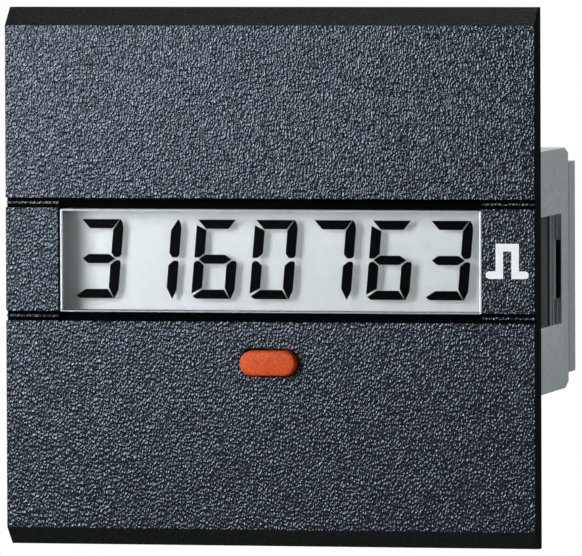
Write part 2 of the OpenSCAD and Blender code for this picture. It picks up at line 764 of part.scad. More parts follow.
module controller_leads() color([0.78, 0.78, 0.76])
    translate([controller_x, display_board_back, controller_z])
        for (a = [0, 90, 180, 270], i = [0:chip_leads - 1]) rotate([0, a, 0])
            translate([chip_side / 2, 0, (i - (chip_leads - 1) / 2) * chip_pitch])
                gull_lead(0.3, chip_t, chip_lift);

module memory_chip() color([0.09, 0.09, 0.1])
    board_chip(memory_w, memory_h, memory_t, memory_x, memory_z, chip_lift);

module memory_leads() color([0.78, 0.78, 0.76])
    translate([memory_x, display_board_back, memory_z])
        for (a = [0, 180], i = [0:3]) rotate([0, a, 0])
            translate([memory_w / 2, 0, (i - 1.5) * memory_pitch])
                gull_lead(0.4, memory_t, chip_lift);

// Crystal in a round can that lies on the board, with two leads bent down to it
module clock_crystal() color([0.8, 0.8, 0.78]) {
    can_y = display_board_back + crystal_d / 2;
    bend_x = crystal_x - 4 * crystal_lead_d;
    translate([crystal_x, can_y, crystal_z]) rotate([0, 90, 0])
        cylinder(d = crystal_d, h = crystal_l);
    for (s = [-1, 1]) {
        lead_z = crystal_z + s * crystal_pitch / 2;
        translate([bend_x, can_y, lead_z]) rotate([0, 90, 0])
            cylinder(d = crystal_lead_d, h = crystal_x - bend_x);
        translate([bend_x, can_y, lead_z]) sphere(d = crystal_lead_d);
        rod(crystal_lead_d, display_board_back, can_y, bend_x, lead_z);
    }
}

module chip_capacitors() color([0.72, 0.6, 0.45]) for (p = chip_capacitor_sites)
    board_chip(chip_part[0], chip_part[1], chip_capacitor_t, p[0], p[1], 0);

module chip_resistors() color([0.13, 0.13, 0.14])
    for (x = chip_resistor_x, z = chip_resistor_z)
        board_chip(chip_part[0], chip_part[1], chip_resistor_t, x, z, 0);

// Key switch under the reset button

module switch_base() color([0.14, 0.14, 0.15]) difference() {
    block([-switch_w / 2, switch_w / 2], [switch_front + switch_cover_t, display_board_y],
        [switch_z - switch_h / 2, switch_z + switch_h / 2]);
    rod(cavity_d, switch_front, cavity_floor, 0, switch_z);
}

module switch_cover() color([0.75, 0.75, 0.74]) difference() {
    block([-switch_w / 2, switch_w / 2], [switch_front, switch_front + switch_cover_t],
        [switch_z - switch_h / 2, switch_z + switch_h / 2]);
    rod(plunger_d + 0.2, switch_front - eps, switch_front + eps, 0, switch_z);
}

module switch_plunger() color([0.2, 0.2, 0.2]) {
    rod(plunger_d, plunger_front, plunger_foot_y + plunger_foot_t, 0, switch_z);
    rod(plunger_foot_d, plunger_foot_y, plunger_foot_y + plunger_foot_t, 0, switch_z);
}

// Thin cone-shaped spring disc, drawn pressed down
module switch_dome() color([0.82, 0.8, 0.74]) translate([0, cavity_floor, switch_z])
    rotate([90, 0, 0]) rotate_extrude() {
        rise = cavity_floor - dome_crown;
        rim = cavity_d / 2 - 0.1;
        polygon([[0, rise - dome_t], [0.4, rise - dome_t], [rim - 0.1, 0], [rim, 0],
            [rim, dome_t], [0.4, rise], [0, rise]]);
    }

module switch_terminals() color([0.78, 0.78, 0.76])
    translate([0, display_board_y, switch_z]) for (s = [0, 180]) rotate([0, s, 0]) {
        leg_z = [-switch_leg_w / 2, switch_leg_w / 2];
        block([switch_w / 2, switch_w / 2 + 6 * switch_leg], [-switch_leg, 0], leg_z);
        block([switch_w / 2, switch_w / 2 + switch_leg], [-5 * switch_leg, -switch_leg], leg_z);
    }

// Square pins that join the boards, in a moulded strip
module link_pins() color([0.85, 0.72, 0.35]) for (i = [0:link_count - 1])
    block([link_pin_x(i) - link_side / 2, link_pin_x(i) + link_side / 2],
        [display_board_y - lead_stub, supply_board_back + lead_stub],
        [link_z - link_side / 2, link_z + link_side / 2]);

module link_spacer() color([0.1, 0.1, 0.1]) difference() {
    half_w = link_count * link_pitch / 2;
    block([link_x - half_w, link_x + half_w],
        [display_board_back, display_board_back + spacer_side],
        [link_z - spacer_side / 2, link_z + spacer_side / 2]);
    for (i = [0:link_count - 1]) block([link_pin_x(i) - link_side / 2, link_pin_x(i) + link_side / 2],
        [display_board_back - eps, display_board_back + spacer_side + eps],
        [link_z - link_side / 2, link_z + link_side / 2]);
}

// Supply board and what is soldered on it

module supply_board() color([0.62, 0.52, 0.24]) difference() {
    block([-board_x, board_x], [supply_board_y, supply_board_back],
        [-supply_z, supply_z]);
    link_holes(supply_board_y - eps, supply_board_back + eps);
    for (p = round_ends)
        rod(lead_d + 2 * hole_gap, supply_board_y - eps, supply_board_back + eps, p[0], p[1]);
    for (p = dip_ends) {
        half_x = dip_lead_w / 2 + hole_gap;
        half_z = dip_lead_t / 2 + hole_gap;
        block([p[0] - half_x, p[0] + half_x], [supply_board_y - eps, supply_board_back + eps],
            [p[1] - half_z, p[1] + half_z]);
    }
    for (i = [0:blade_count - 1], s = [-1, 1]) {
        half_x = blade_t / 2 + blade_gap;
        half_z = leg_w / 2 + blade_gap;
        block([blade_x(i) - half_x, blade_x(i) + half_x],
            [supply_board_y - eps, supply_board_back + eps], [s * leg_z - half_z, s * leg_z + half_z]);
    }
}

// Straight round leads from a body through the board
module round_leads(ends, y0) for (p = ends)
    rod(lead_d, y0, supply_board_back + lead_stub, p[0], p[1]);

module filter_capacitor() color([0.8, 0.8, 0.8]) {
    rod(capacitor_d, capacitor_front, component_back, capacitor_x, lower_z);
    round_leads(capacitor_ends, component_back);
}

module capacitor_sleeve() color([0.1, 0.16, 0.4]) difference() {
    rod(capacitor_d + 2 * sleeve_t, capacitor_front + 2 * sleeve_t, component_back,
        capacitor_x, lower_z);
    rod(capacitor_d, capacitor_front - eps, component_back + eps, capacitor_x, lower_z);
}

// Moulded body of a dual in-line part
module dip_body(w, x) block([x - w / 2, x + w / 2], [component_back - dip_t, component_back],
    [dip_z - dip_h / 2, dip_z + dip_h / 2]);

// Its four bent leads
module dip_leads(x, pitch) {
    shoulder_y = component_back - dip_t / 2;
    for (s = [-1, 1], m = [0, 1]) translate([x + s * pitch / 2, 0, dip_z]) mirror([0, 0, m]) {
        block([-dip_lead_w, dip_lead_w], [shoulder_y, shoulder_y + dip_lead_t],
            [dip_h / 2, dip_row + dip_lead_t / 2]);
        block([-dip_lead_w, dip_lead_w], [shoulder_y, supply_board_y - 0.1],
            [dip_row - dip_lead_t / 2, dip_row + dip_lead_t / 2]);
        block([-dip_lead_w / 2, dip_lead_w / 2], [shoulder_y, supply_board_back + lead_stub],
            [dip_row - dip_lead_t / 2, dip_row + dip_lead_t / 2]);
    }
}

module bridge_rectifier() color([0.1, 0.1, 0.11]) dip_body(bridge_w, bridge_x);

module bridge_leads() color([0.78, 0.78, 0.76]) dip_leads(bridge_x, bridge_pitch);

module count_optocoupler() color([0.88, 0.88, 0.86]) dip_body(opto_w, opto_count_x);

module reset_optocoupler() color([0.88, 0.88, 0.86]) dip_body(opto_w, opto_reset_x);

module optocoupler_leads() color([0.78, 0.78, 0.76]) {
    dip_leads(opto_count_x, opto_pitch);
    dip_leads(opto_reset_x, opto_pitch);
}

// Round transistor case with a flat side
module voltage_regulator() color([0.1, 0.1, 0.11]) intersection() {
    rod(regulator_d, component_back - regulator_lift - regulator_l,
        component_back - regulator_lift, regulator_x, dip_z);
    block([regulator_x - regulator_d, regulator_x + regulator_d], [0, component_back],
        [dip_z - regulator_d, dip_z + 1.2]);
}

module regulator_leads() color([0.78, 0.78, 0.76])
    round_leads(regulator_ends, component_back - regulator_lift);

// Coated disc that stands on its leads
module surge_varistor() color([0.15, 0.32, 0.6])
    translate([varistor_x - varistor_t / 2, component_back - 1 - varistor_d / 2, dip_z])
        rotate([0, 90, 0]) cylinder(d = varistor_d, h = varistor_t);

module varistor_leads() color([0.78, 0.78, 0.76]) difference() {
    round_leads(varistor_ends, component_back - 1 - varistor_d / 2);
    translate([varistor_x - varistor_t, component_back - 1 - varistor_d / 2, dip_z])
        rotate([0, 90, 0]) cylinder(d = varistor_d, h = 2 * varistor_t);
}

module film_capacitor() color([0.75, 0.2, 0.14])
    block([film_x - film_w / 2, film_x + film_w / 2], [component_back - film_l, component_back],
        [lower_z - film_h / 2, lower_z + film_h / 2]);

module film_capacitor_leads() color([0.78, 0.78, 0.76]) round_leads(film_ends, component_back);

// Places its children at each resistor
module at_resistors() for (p = resistor_sites)
    translate([p[0], component_back - resistor_d / 2, p[1]]) children();

module input_resistors() color([0.76, 0.66, 0.48]) at_resistors()
    rotate([0, 90, 0]) cylinder(d = resistor_d, h = resistor_l, center = true);

module resistor_leads() color([0.78, 0.78, 0.76]) at_resistors() both_sides() {
    end = resistor_pitch / 2;
    translate([resistor_l / 2, 0, 0]) rotate([0, 90, 0]) cylinder(d = lead_d, h = end - resistor_l / 2);
    translate([end, 0, 0]) sphere(d = lead_d);
    rod(lead_d, 0, supply_board_back + lead_stub - component_back + resistor_d / 2, end, 0);
}

// Light grey housing behind the panel

module housing_profile() polygon([
    [plate_y, -body_z], [plate_y, body_z], [body_end - end_chamfer_d, body_z],
    [body_end, body_z - end_chamfer_h], [body_end, -body_z + end_chamfer_h],
    [body_end - end_chamfer_d, -body_z]]);

// Channel along the right side, with its ridges and the slots for the tongue
module side_channel_cut() {
    slot_z = slot_h / 2;
    channel_z = side_channel_h / 2;
    difference() {
        block([floor_x, side_x + eps], [plate_y - eps, channel_end], [-channel_z, channel_z]);
        difference() {
            union() {
                block([floor_x - eps, side_x - ridge_low],
                    [wide_ridge_y, wide_ridge_y + wide_ridge_w], [-channel_z - eps, channel_z + eps]);
                block([floor_x - eps, side_x - ridge_low],
                    [wide_ridge_y, wide_ridge_y + tail_cover_w], [-slot_z, slot_z]);
                block([floor_x - eps, side_x - ridge_low],
                    [narrow_ridge_y, narrow_ridge_y + narrow_ridge_w],
                    [-channel_z - eps, channel_z + eps]);
            }
            // notch along the wide ridge
            block([side_x - ridge_low - 0.25, side_x + eps],
                [wide_ridge_y + wide_ridge_w * 0.4, wide_ridge_y + wide_ridge_w * 0.6],
                [-channel_z - 2 * eps, channel_z + 2 * eps]);
        }
    }
    // way in for the joggle, the groove for the tail and the window round the hook
    joggle_way = [joggle_y - 0.4, wide_ridge_y];
    block([inner_side_x - eps, floor_x + eps], joggle_way, [-slot_z, slot_z]);
    block([inner_side_x - eps, tail_x + tail_t + tongue_gap], [joggle_y - 0.4, channel_end],
        [-slot_z, slot_z]);
    block([inner_side_x - eps, side_x], [wide_ridge_y + tail_cover_w, channel_end],
        [-slot_z, slot_z]);
}

module housing_inside() difference() {
    block([-inner_x, inner_x], [plate_y - eps, body_end + eps], [-inner_z, inner_z]);
    // the wall that stays under each side channel
    thick_z = side_channel_h / 2 + wall_t;
    both_sides() block([inner_side_x, inner_x + eps], [plate_y - 2 * eps, channel_end + wall_t],
        [-thick_z, thick_z]);
    // corner posts between the two boards
    both_sides() for (m = [0, 1]) mirror([0, 0, m])
        block([inner_x - post_w, inner_x + eps], [display_board_back, supply_board_y],
            [inner_z - post_h, inner_z + eps]);
}

module rear_housing() color([0.55, 0.56, 0.57]) difference() {
    along_x(-side_x, side_x) housing_profile();
    housing_inside();
    both_sides() side_channel_cut();
}

// Light grey cover that closes the housing and carries the terminals

module cover_pads() {
    pad_x = board_x - 2.4;
    pad_z = supply_z - 1.8;
    both_sides() for (m = [0, 1]) mirror([0, 0, m])
        block([pad_x, cover_lip_x - 0.2], [supply_board_back, cover_back - wall_t + 0.2],
            [pad_z, cover_lip_z - 0.2]);
}

module rear_cover() color([0.5, 0.51, 0.52]) {
    lip_front = body_end - cover_lip_l;
    difference() {
        union() {
            block([-side_x, side_x], [body_end + shadow_gap, cover_back],
                [-cover_z, cover_z]);
            block([-side_x + shadow_gap, side_x - shadow_gap], [body_end, body_end + shadow_gap],
                [-cover_lip_z, cover_lip_z]);
            block([-cover_lip_x, cover_lip_x], [lip_front, body_end], [-cover_lip_z, cover_lip_z]);
        }
        block([-cover_lip_x + cover_lip_t, cover_lip_x - cover_lip_t],
            [lip_front - eps, cover_back - wall_t],
            [-cover_lip_z + cover_lip_t, cover_lip_z - cover_lip_t]);
        for (i = [0:blade_count - 1]) {
            half_x = blade_t / 2 + blade_gap;
            half_z = blade_w / 2 + blade_gap;
            block([blade_x(i) - half_x, blade_x(i) + half_x], [body_end, cover_back + eps],
                [-half_z, half_z]);
        }
    }
    cover_pads();
    for (i = [0:blade_count]) {
        x = blade_x(i) - blade_pitch / 2;
        block([x - barrier_t / 2, x + barrier_t / 2], [cover_back, cover_back + barrier_d],
            [-barrier_h / 2, barrier_h / 2]);
    }
}

// One terminal: two solder legs, a shoulder and a 6.3 mm blade
module terminal_blade(i) color([0.85, 0.75, 0.45]) translate([blade_x(i) - blade_t / 2, 0, 0])
    difference() {
        union() {
            along_x(0, blade_t) polygon([
                [blade_root, -blade_w / 2], [blade_tip - blade_taper, -blade_w / 2],
                [blade_tip, -blade_w / 2 + blade_taper], [blade_tip, blade_w / 2 - blade_taper],
                [blade_tip - blade_taper, blade_w / 2], [blade_root, blade_w / 2]]);
            for (s = [-1, 1]) block([0, blade_t], [supply_board_y - 0.4, blade_root + 0.1],
                [s * leg_z - leg_w / 2, s * leg_z + leg_w / 2]);
        }
        translate([-eps, blade_tip - blade_hole_l, 0]) rotate([0, 90, 0])
            cylinder(d = blade_hole_d, h = blade_t + 2 * eps);
    }

front_bezel();
display_window();
pulse_mark();
reset_button();
lcd_polariser();
lcd_front_glass();
lcd_segments();
lcd_rear_glass();
lcd_reflector();
lcd_holder();
zebra_strip_upper();
zebra_strip_lower();
display_board();
controller_chip();
controller_leads();
memory_chip();
memory_leads();
clock_crystal();
chip_capacitors();
chip_resistors();
switch_base();
switch_cover();
switch_plunger();
switch_dome();
switch_terminals();
link_pins();
link_spacer();
supply_board();
filter_capacitor();
capacitor_sleeve();
bridge_rectifier();
bridge_leads();
count_optocoupler();
reset_optocoupler();
optocoupler_leads();
voltage_regulator();
regulator_leads();
surge_varistor();
varistor_leads();
film_capacitor();
film_capacitor_leads();
input_resistors();
resistor_leads();
rear_housing();
rear_cover();
terminal_blade(0);  // terminal_blade_1
terminal_blade(1);  // terminal_blade_2
terminal_blade(2);  // terminal_blade_3
terminal_blade(3);  // terminal_blade_4
terminal_blade(4);  // terminal_blade_5
terminal_blade(5);  // terminal_blade_6
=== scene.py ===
"""Looks of a square panel meter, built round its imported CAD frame.

Sizes in the classes are millimetres and angles are degrees. A mesh is scaled to metres once it is
finished, so that every piece lies where the frame has it.
"""

import logging
import math
from dataclasses import dataclass
from enum import Enum
from functools import cache
from typing import Any, Callable, ClassVar, Iterable, Sequence

import bmesh
import bpy
from mathutils import Matrix, Vector


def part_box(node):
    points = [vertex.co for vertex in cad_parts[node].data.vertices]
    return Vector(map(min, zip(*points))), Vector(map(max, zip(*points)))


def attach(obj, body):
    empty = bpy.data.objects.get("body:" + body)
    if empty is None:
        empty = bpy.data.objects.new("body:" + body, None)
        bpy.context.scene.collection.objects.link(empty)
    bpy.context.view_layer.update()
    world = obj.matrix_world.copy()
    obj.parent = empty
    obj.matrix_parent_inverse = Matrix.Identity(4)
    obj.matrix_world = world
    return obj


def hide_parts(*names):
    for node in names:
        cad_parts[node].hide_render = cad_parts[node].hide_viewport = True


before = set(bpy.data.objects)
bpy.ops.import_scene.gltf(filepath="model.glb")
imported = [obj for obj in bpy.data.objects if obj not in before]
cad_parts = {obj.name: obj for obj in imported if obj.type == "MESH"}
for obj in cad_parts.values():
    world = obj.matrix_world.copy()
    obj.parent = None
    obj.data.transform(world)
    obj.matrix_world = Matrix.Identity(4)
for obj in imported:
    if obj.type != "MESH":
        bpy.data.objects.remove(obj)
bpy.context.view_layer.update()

LOG = logging.getLogger("panel_meter")
MM = 0.001
PHOTO_WIDTH_PX = 582
NEAR = 0.01  # faces this near a plane count as in it
TOUCH = 0.001  # points this near each other count as one
FACING = -0.99  # a normal's y below this faces the viewer

Colour = tuple[float, float, float]
Point = tuple[float, float, float]
Pair = tuple[float, float]
Four = tuple[float, float, float, float]
Socket = bpy.types.NodeSocket
Tree = bpy.types.NodeTree
Look = tuple[Socket, Socket, Socket]
Edge = bmesh.types.BMEdge
Test = Callable[[Vector, Vector], bool]
Move = Callable[[Vector], Vector]


class Body(Enum):
    """The moving bodies of the meter."""

    METER = "meter"
    RESET = "reset"


class Axis(Enum):
    """The directions across which a face is cut, by their index in the shared frame."""

    X = 0
    Z = 2


# --- shader trees


class Sketch:
    """Draws one node tree: it adds nodes, sets their inputs and links them."""

    def __init__(self, tree: Tree) -> None:
        """Starts on an empty tree.

        Args:
            tree: The node tree to draw in.
        """
        self.tree = tree
        tree.nodes.clear()

    def put(self, socket: Socket, value: Any) -> None:
        """Links a socket, or sets its value.

        Args:
            socket: The input to fill.
            value: An output socket, a number, a vector or a colour.
        """
        if isinstance(value, Socket):
            self.tree.links.new(value, socket)
        elif isinstance(value, tuple) and len(value) == 3 and socket.type == "RGBA":
            socket.default_value = (*value, 1.0)
        else:
            socket.default_value = value

    def node(self, kind: str, inputs: dict[Any, Any] | None = None, **settings: Any) -> bpy.types.Node:
        """Adds one node.

        Args:
            kind: The node's type without its prefix.
            inputs: Values or sockets for its inputs, by name or index.
            **settings: Properties of the node.

        Returns:
            The new node.
        """
        made = self.tree.nodes.new("ShaderNode" + kind)
        for name, value in settings.items():
            setattr(made, name, value)
        for name, value in (inputs or {}).items():
            self.put(made.inputs[name], value)
        return made

    def math(self, operation: str, *values: Any) -> Socket:
        """Adds a Math node and returns its value.

        Args:
            operation: The node's operation.
            *values: Numbers or sockets, in order.

        Returns:
            The value's socket.
        """
        return self.node("Math", dict(enumerate(values)), operation=operation).outputs[0]

    def span(self, value: Any, low: Any, high: Any, to_low: Any = 0.0, to_high: Any = 1.0) -> Socket:
        """Maps a range smoothly onto another and clamps it.

        Args:
            value: The socket to map.
            low: Start of the range read.
            high: End of the range read.
            to_low: Result at the start.
            to_high: Result at the end.

        Returns:
            The mapped value's socket.
        """
        inputs = {0: value, 1: low, 2: high, 3: to_low, 4: to_high}
        return self.node("MapRange", inputs, clamp=True).outputs[0]

    def blend(self, share: Any, first: Any, second: Any) -> Socket:
        """Mixes two colours.

        Args:
            share: How much of the second colour shows.
            first: A colour or socket.
            second: A colour or socket.

        Returns:
            The mixed colour's socket.
        """
        made = self.node("Mix", data_type="RGBA")
        for index, value in ((0, share), (6, first), (7, second)):
            self.put(made.inputs[index], value)
        return made.outputs[2]

    def place(self, stretch: Point = (1.0, 1.0, 1.0)) -> Socket:
        """The point on the object, stretched along its axes.

        Args:
            stretch: Factor on each axis.

        Returns:
            The point's socket.
        """
        point = self.node("TexCoord").outputs["Object"]
        if stretch == (1.0, 1.0, 1.0):
            return point
        return self.node("Mapping", {"Vector": point, "Scale": stretch}).outputs[0]

    def group(self, tree: Tree, **inputs: Any) -> bpy.types.Node:
        """Places a node group.

        Args:
            tree: The group's tree.
            **inputs: Values for its inputs.

        Returns:
            The group's node.
        """
        made = self.tree.nodes.new("ShaderNodeGroup")
        made.node_tree = tree
        for name, value in inputs.items():
            self.put(made.inputs[name], value)
        return made


class Effects:
    """The effects that several finishes share, each a node group built once."""

    grain_stretch: ClassVar[Point] = (1.38, 1.0, 0.9)
    grain_detail: ClassVar[float] = 0.69
    pit_span: ClassVar[Pair] = (0.56, 0.31)
    fine: ClassVar[float] = 16.0
    speck_core: ClassVar[float] = 0.4
    worn_span: ClassVar[Pair] = (0.52, 0.62)

    @staticmethod
    def _open(name: str, inputs: dict[str, float],
              outputs: Sequence[str]) -> tuple[Sketch, Socket, Any, Any]:
        """Starts a group.

        Args:
            name: Name of the group.
            inputs: Names of its number inputs, with their defaults; one is Size, in millimetres.
            outputs: Names of its number outputs.

        Returns:
            The sketch, the texture scale that Size asks for, what comes in and what goes out.
        """
        tree = bpy.data.node_groups.new(name, "ShaderNodeTree")
        for label, default in inputs.items():
            socket = tree.interface.new_socket(label, in_out="INPUT", socket_type="NodeSocketFloat")
            socket.default_value = default
        for label in outputs:
            tree.interface.new_socket(label, in_out="OUTPUT", socket_type="NodeSocketFloat")
        sketch = Sketch(tree)
        start = tree.nodes.new("NodeGroupInput").outputs
        end = tree.nodes.new("NodeGroupOutput").inputs
        return sketch, sketch.math("DIVIDE", 1.0 / MM, start["Size"]), start, end

    @cache
    def grain(self) -> Tree:
        """Spark-eroded grain: ridges and pits of a few tenths of a millimetre.

        Returns:
            A group with Size in, Height and Pits out.
        """
        sketch, scale, _, end = self._open("spark_grain", {"Size": 0.4}, ("Height", "Pits"))
        ridges = sketch.node("TexNoise", {
            "Vector": sketch.place(self.grain_stretch), "Scale": scale, "Detail": self.grain_detail,
            "Roughness": 0.4})
        height = sketch.span(ridges.outputs[0], 0.2, 0.8)
        sketch.put(end["Height"], height)
        sketch.put(end["Pits"], sketch.span(height, *self.pit_span))
        return sketch.tree

    @cache
    def mottle(self) -> Tree:
        """Slow and fine unevenness of a moulded, plated or rolled surface.

        Returns:
            A group with Size in, Broad and Fine out.
        """
        sketch, scale, _, end = self._open("mottle", {"Size": 3.0}, ("Broad", "Fine"))
        point = sketch.place()
        for label, finer in (("Broad", scale), ("Fine", sketch.math("MULTIPLY", scale, self.fine))):
            noise = sketch.node("TexNoise", {"Vector": point, "Scale": finer, "Detail": 2.0})
            sketch.put(end[label], sketch.span(noise.outputs[0], 0.3, 0.7))
        return sketch.tree

    @cache
    def specks(self) -> Tree:
        """Sparse specks, as of dust or of a filler in plastic.

        Returns:
            A group with Size and Share in, Mask out.
        """
        sketch, scale, start, end = self._open("specks", {"Size": 0.5, "Share": 0.2}, ("Mask",))
        cells = sketch.node("TexVoronoi", {"Vector": sketch.place(), "Scale": scale})
        core = sketch.math("MULTIPLY", start["Share"], self.speck_core)
        sketch.put(end["Mask"], sketch.span(cells.outputs["Distance"], start["Share"], core))
        return sketch.tree

    @cache
    def edge_wear(self) -> Tree:
        """Rubbed edges, broken up by a fine noise.

        Returns:
            A group with Size in, Mask out.
        """
        sketch, scale, _, end = self._open("edge_wear", {"Size": 0.5}, ("Mask",))
        edge = sketch.span(sketch.node("NewGeometry").outputs["Pointiness"], *self.worn_span)
        broken = sketch.node("TexNoise", {"Vector": sketch.place(), "Scale": scale, "Detail": 2.0})
        sketch.put(end["Mask"], sketch.math("MULTIPLY", edge, sketch.span(broken.outputs[0], 0.4, 0.6)))
        return sketch.tree


EFFECTS = Effects()


# --- finishes


@dataclass(frozen=True)
class Finish:
    """A surface finish: two colours mottled into each other, specks, worn edges, gloss and a fine relief.

    The mottle is given by its size, the specks by size, share and colour, the wear by its colour, and the
    relief by its width in millimetres and its height in micrometres.
    """

    name: str
    colour: Colour
    second: Colour
    rough: float = 0.5
    metal: float = 0.0
    specular: float = 0.5
    tint: Colour = (1.0, 1.0, 1.0)
    mottle: float = 3.0
    specks: tuple[float, float, Colour] | None = None
    wear: Colour | None = None
    relief: Pair = (0.25, 6.0)
    stretch: Point = (1.0, 1.0, 1.0)
    alpha: float = 1.0
    spread: ClassVar[Pair] = (0.88, 1.12)
    wear_mm: ClassVar[float] = 0.4

    def pattern(self, sketch: Sketch) -> Look:
        """Draws what changes over the surface.

        Args:
            sketch: The material's tree.

        Returns:
            The colour, the roughness and the relief's height.
        """
        mottle = sketch.group(EFFECTS.mottle(), Size=self.mottle).outputs
        colour = sketch.blend(mottle["Broad"], self.colour, self.second)
        if self.specks is not None:
            size, share, speck_colour = self.specks
            specks = sketch.group(EFFECTS.specks(), Size=size, Share=share)
            colour = sketch.blend(specks.outputs["Mask"], colour, speck_colour)
        if self.wear is not None:
            wear = sketch.group(EFFECTS.edge_wear(), Size=self.wear_mm)
            colour = sketch.blend(wear.outputs["Mask"], colour, self.wear)
        low, high = (min(1.0, self.rough * share) for share in self.spread)
        rough = sketch.span(mottle["Fine"], 0.0, 1.0, low, high)
        noise = {"Vector": sketch.place(self.stretch), "Scale": 1.0 / (self.relief[0] * MM), "Detail": 3.0}
        return colour, rough, sketch.node("TexNoise", noise).outputs[0]

    @cache
    def material(self) -> bpy.types.Material:
        """Builds the material once.

        Returns:
            The material.
        """
        made = bpy.data.materials.new("finish_" + self.name)
        made.use_nodes = True
        sketch = Sketch(made.node_tree)
        colour, rough, height = self.pattern(sketch)
        bump = {"Strength": 1.0, "Distance": self.relief[1] * MM * MM, "Height": height}
        shader = sketch.node("BsdfPrincipled", {
            "Base Color": colour, "Roughness": rough, "Metallic": self.metal,
            "Specular IOR Level": self.specular, "Specular Tint": self.tint, "Alpha": self.alpha,
            "Normal": sketch.node("Bump", bump).outputs[0]})
        self.trim(sketch, shader)
        sketch.node("OutputMaterial", {"Surface": shader.outputs[0]})
        made.diffuse_color = (*self.colour, self.alpha)
        return made

    def trim(self, sketch: Sketch, shader: bpy.types.Node) -> None:
        """Sets what a kind of finish adds to the shader.

        Args:
            sketch: The material's tree.
            shader: The Principled BSDF.
        """


@dataclass(frozen=True)
class GrainedFinish(Finish):
    """Plastic from a spark-eroded mould: rougher pits, darkened with painted shade."""

    pit_shade: Colour = (0.002, 0.002, 0.003)
    pit_rough: float = 0.34

    def pattern(self, sketch: Sketch) -> Look:
        """Draws the grain.

        Args:
            sketch: The material's tree.

        Returns:
            The colour, the roughness and the relief's height.
        """
        colour, rough, _ = super().pattern(sketch)
        grain = sketch.group(EFFECTS.grain(), Size=self.relief[0]).outputs
        rough = sketch.span(grain["Pits"], 0.0, 1.0, rough, self.pit_rough)
        # painted shade: the pits darken towards a near-black colour
        return sketch.blend(grain["Pits"], colour, self.pit_shade), rough, grain["Height"]


@dataclass(frozen=True)
class ClearFinish(Finish):
    """Clear plastic or glass that the light passes straight through, with faint surface dust."""

    haze: float = 0.012
    dust: ClassVar[Pair] = (0.9, 0.08)

    def trim(self, sketch: Sketch, shader: bpy.types.Node) -> None:
        """Lets a little dust show on the clear body.

        Args:
            sketch: The material's tree.
            shader: The Principled BSDF.
        """
        size, share = self.dust
        dust = sketch.group(EFFECTS.specks(), Size=size, Share=share)
        alpha = sketch.span(dust.outputs["Mask"], 0.0, 1.0, self.alpha, self.alpha + self.haze)
        sketch.put(shader.inputs["Alpha"], alpha)


@dataclass(frozen=True)
class VeilFinish(Finish):
    """A layer that hides what lies behind it while part of the light crosses it; it may carry a painted
    glow.
    """

    shade: float = 0.4
    glow: float = 0.0

    def trim(self, sketch: Sketch, shader: bpy.types.Node) -> None:
        """Lightens the layer's shadow and adds a painted glow: emission standing in for the light that the
        layer pipes to its edge.

        Args:
            sketch: The material's tree.
            shader: The Principled BSDF.
        """
        shadow = sketch.node("LightPath").outputs["Is Shadow Ray"]
        sketch.put(shader.inputs["Alpha"], sketch.span(shadow, 0.0, 1.0, self.alpha, self.shade))
        sketch.put(shader.inputs["Emission Color"], self.colour)
        sketch.put(shader.inputs["Emission Strength"], self.glow)


@dataclass(frozen=True)
class BoardFinish(Finish):
    """A printed circuit board: copper tracks under the lacquer, pads and vias."""

    track: Colour = (0.05, 0.2, 0.08)
    pad: Colour = (0.7, 0.62, 0.45)
    via: ClassVar[Pair] = (4.0, 0.12)
    weave_share: ClassVar[float] = 0.3

    def pattern(self, sketch: Sketch) -> Look:
        """Draws tracks and vias on the board's plane.

        Args:
            sketch: The material's tree.

        Returns:
            The colour, the roughness and the relief's height.
        """
        colour, rough, weave = super().pattern(sketch)
        upright = {"Vector": sketch.place(), "Rotation": (math.pi / 2, 0.0, 0.0)}
        turned = sketch.node("Mapping", upright).outputs[0]
        tracks = sketch.node("TexBrick", {
            "Vector": turned, "Scale": 1.0 / MM, "Brick Width": 7.0, "Row Height": 1.27, "Mortar Size": 0.22,
            "Mortar Smooth": 0.1})
        vias = sketch.group(EFFECTS.specks(), Size=self.via[0], Share=self.via[1])
        colour = sketch.blend(tracks.outputs["Fac"], colour, self.track)
        colour = sketch.blend(vias.outputs["Mask"], colour, self.pad)
        height = sketch.math("ADD", sketch.math("MULTIPLY", weave, self.weave_share), tracks.outputs["Fac"])
        return colour, rough, height


@dataclass(frozen=True)
class BrushedFinish(Finish):
    """Rolled or plated metal with fine lines along one axis and dull patches."""

    metal: float = 1.0
    stain: Colour = (0.35, 0.33, 0.3)
    patch: ClassVar[float] = 1.7
    patch_share: ClassVar[float] = 0.3
    line_share: ClassVar[float] = 0.1

    def pattern(self, sketch: Sketch) -> Look:
        """Draws the rolled lines and the dull patches.

        Args:
            sketch: The material's tree.

        Returns:
            The colour, the roughness and the relief's height.
        """
        colour, rough, lines = super().pattern(sketch)
        patches = sketch.group(EFFECTS.mottle(), Size=self.mottle * self.patch)
        share = sketch.math("MULTIPLY", patches.outputs["Broad"], self.patch_share)
        rough = sketch.math("ADD", rough, sketch.math("MULTIPLY", lines, self.line_share))
        return sketch.blend(share, colour, self.stain), rough, lines


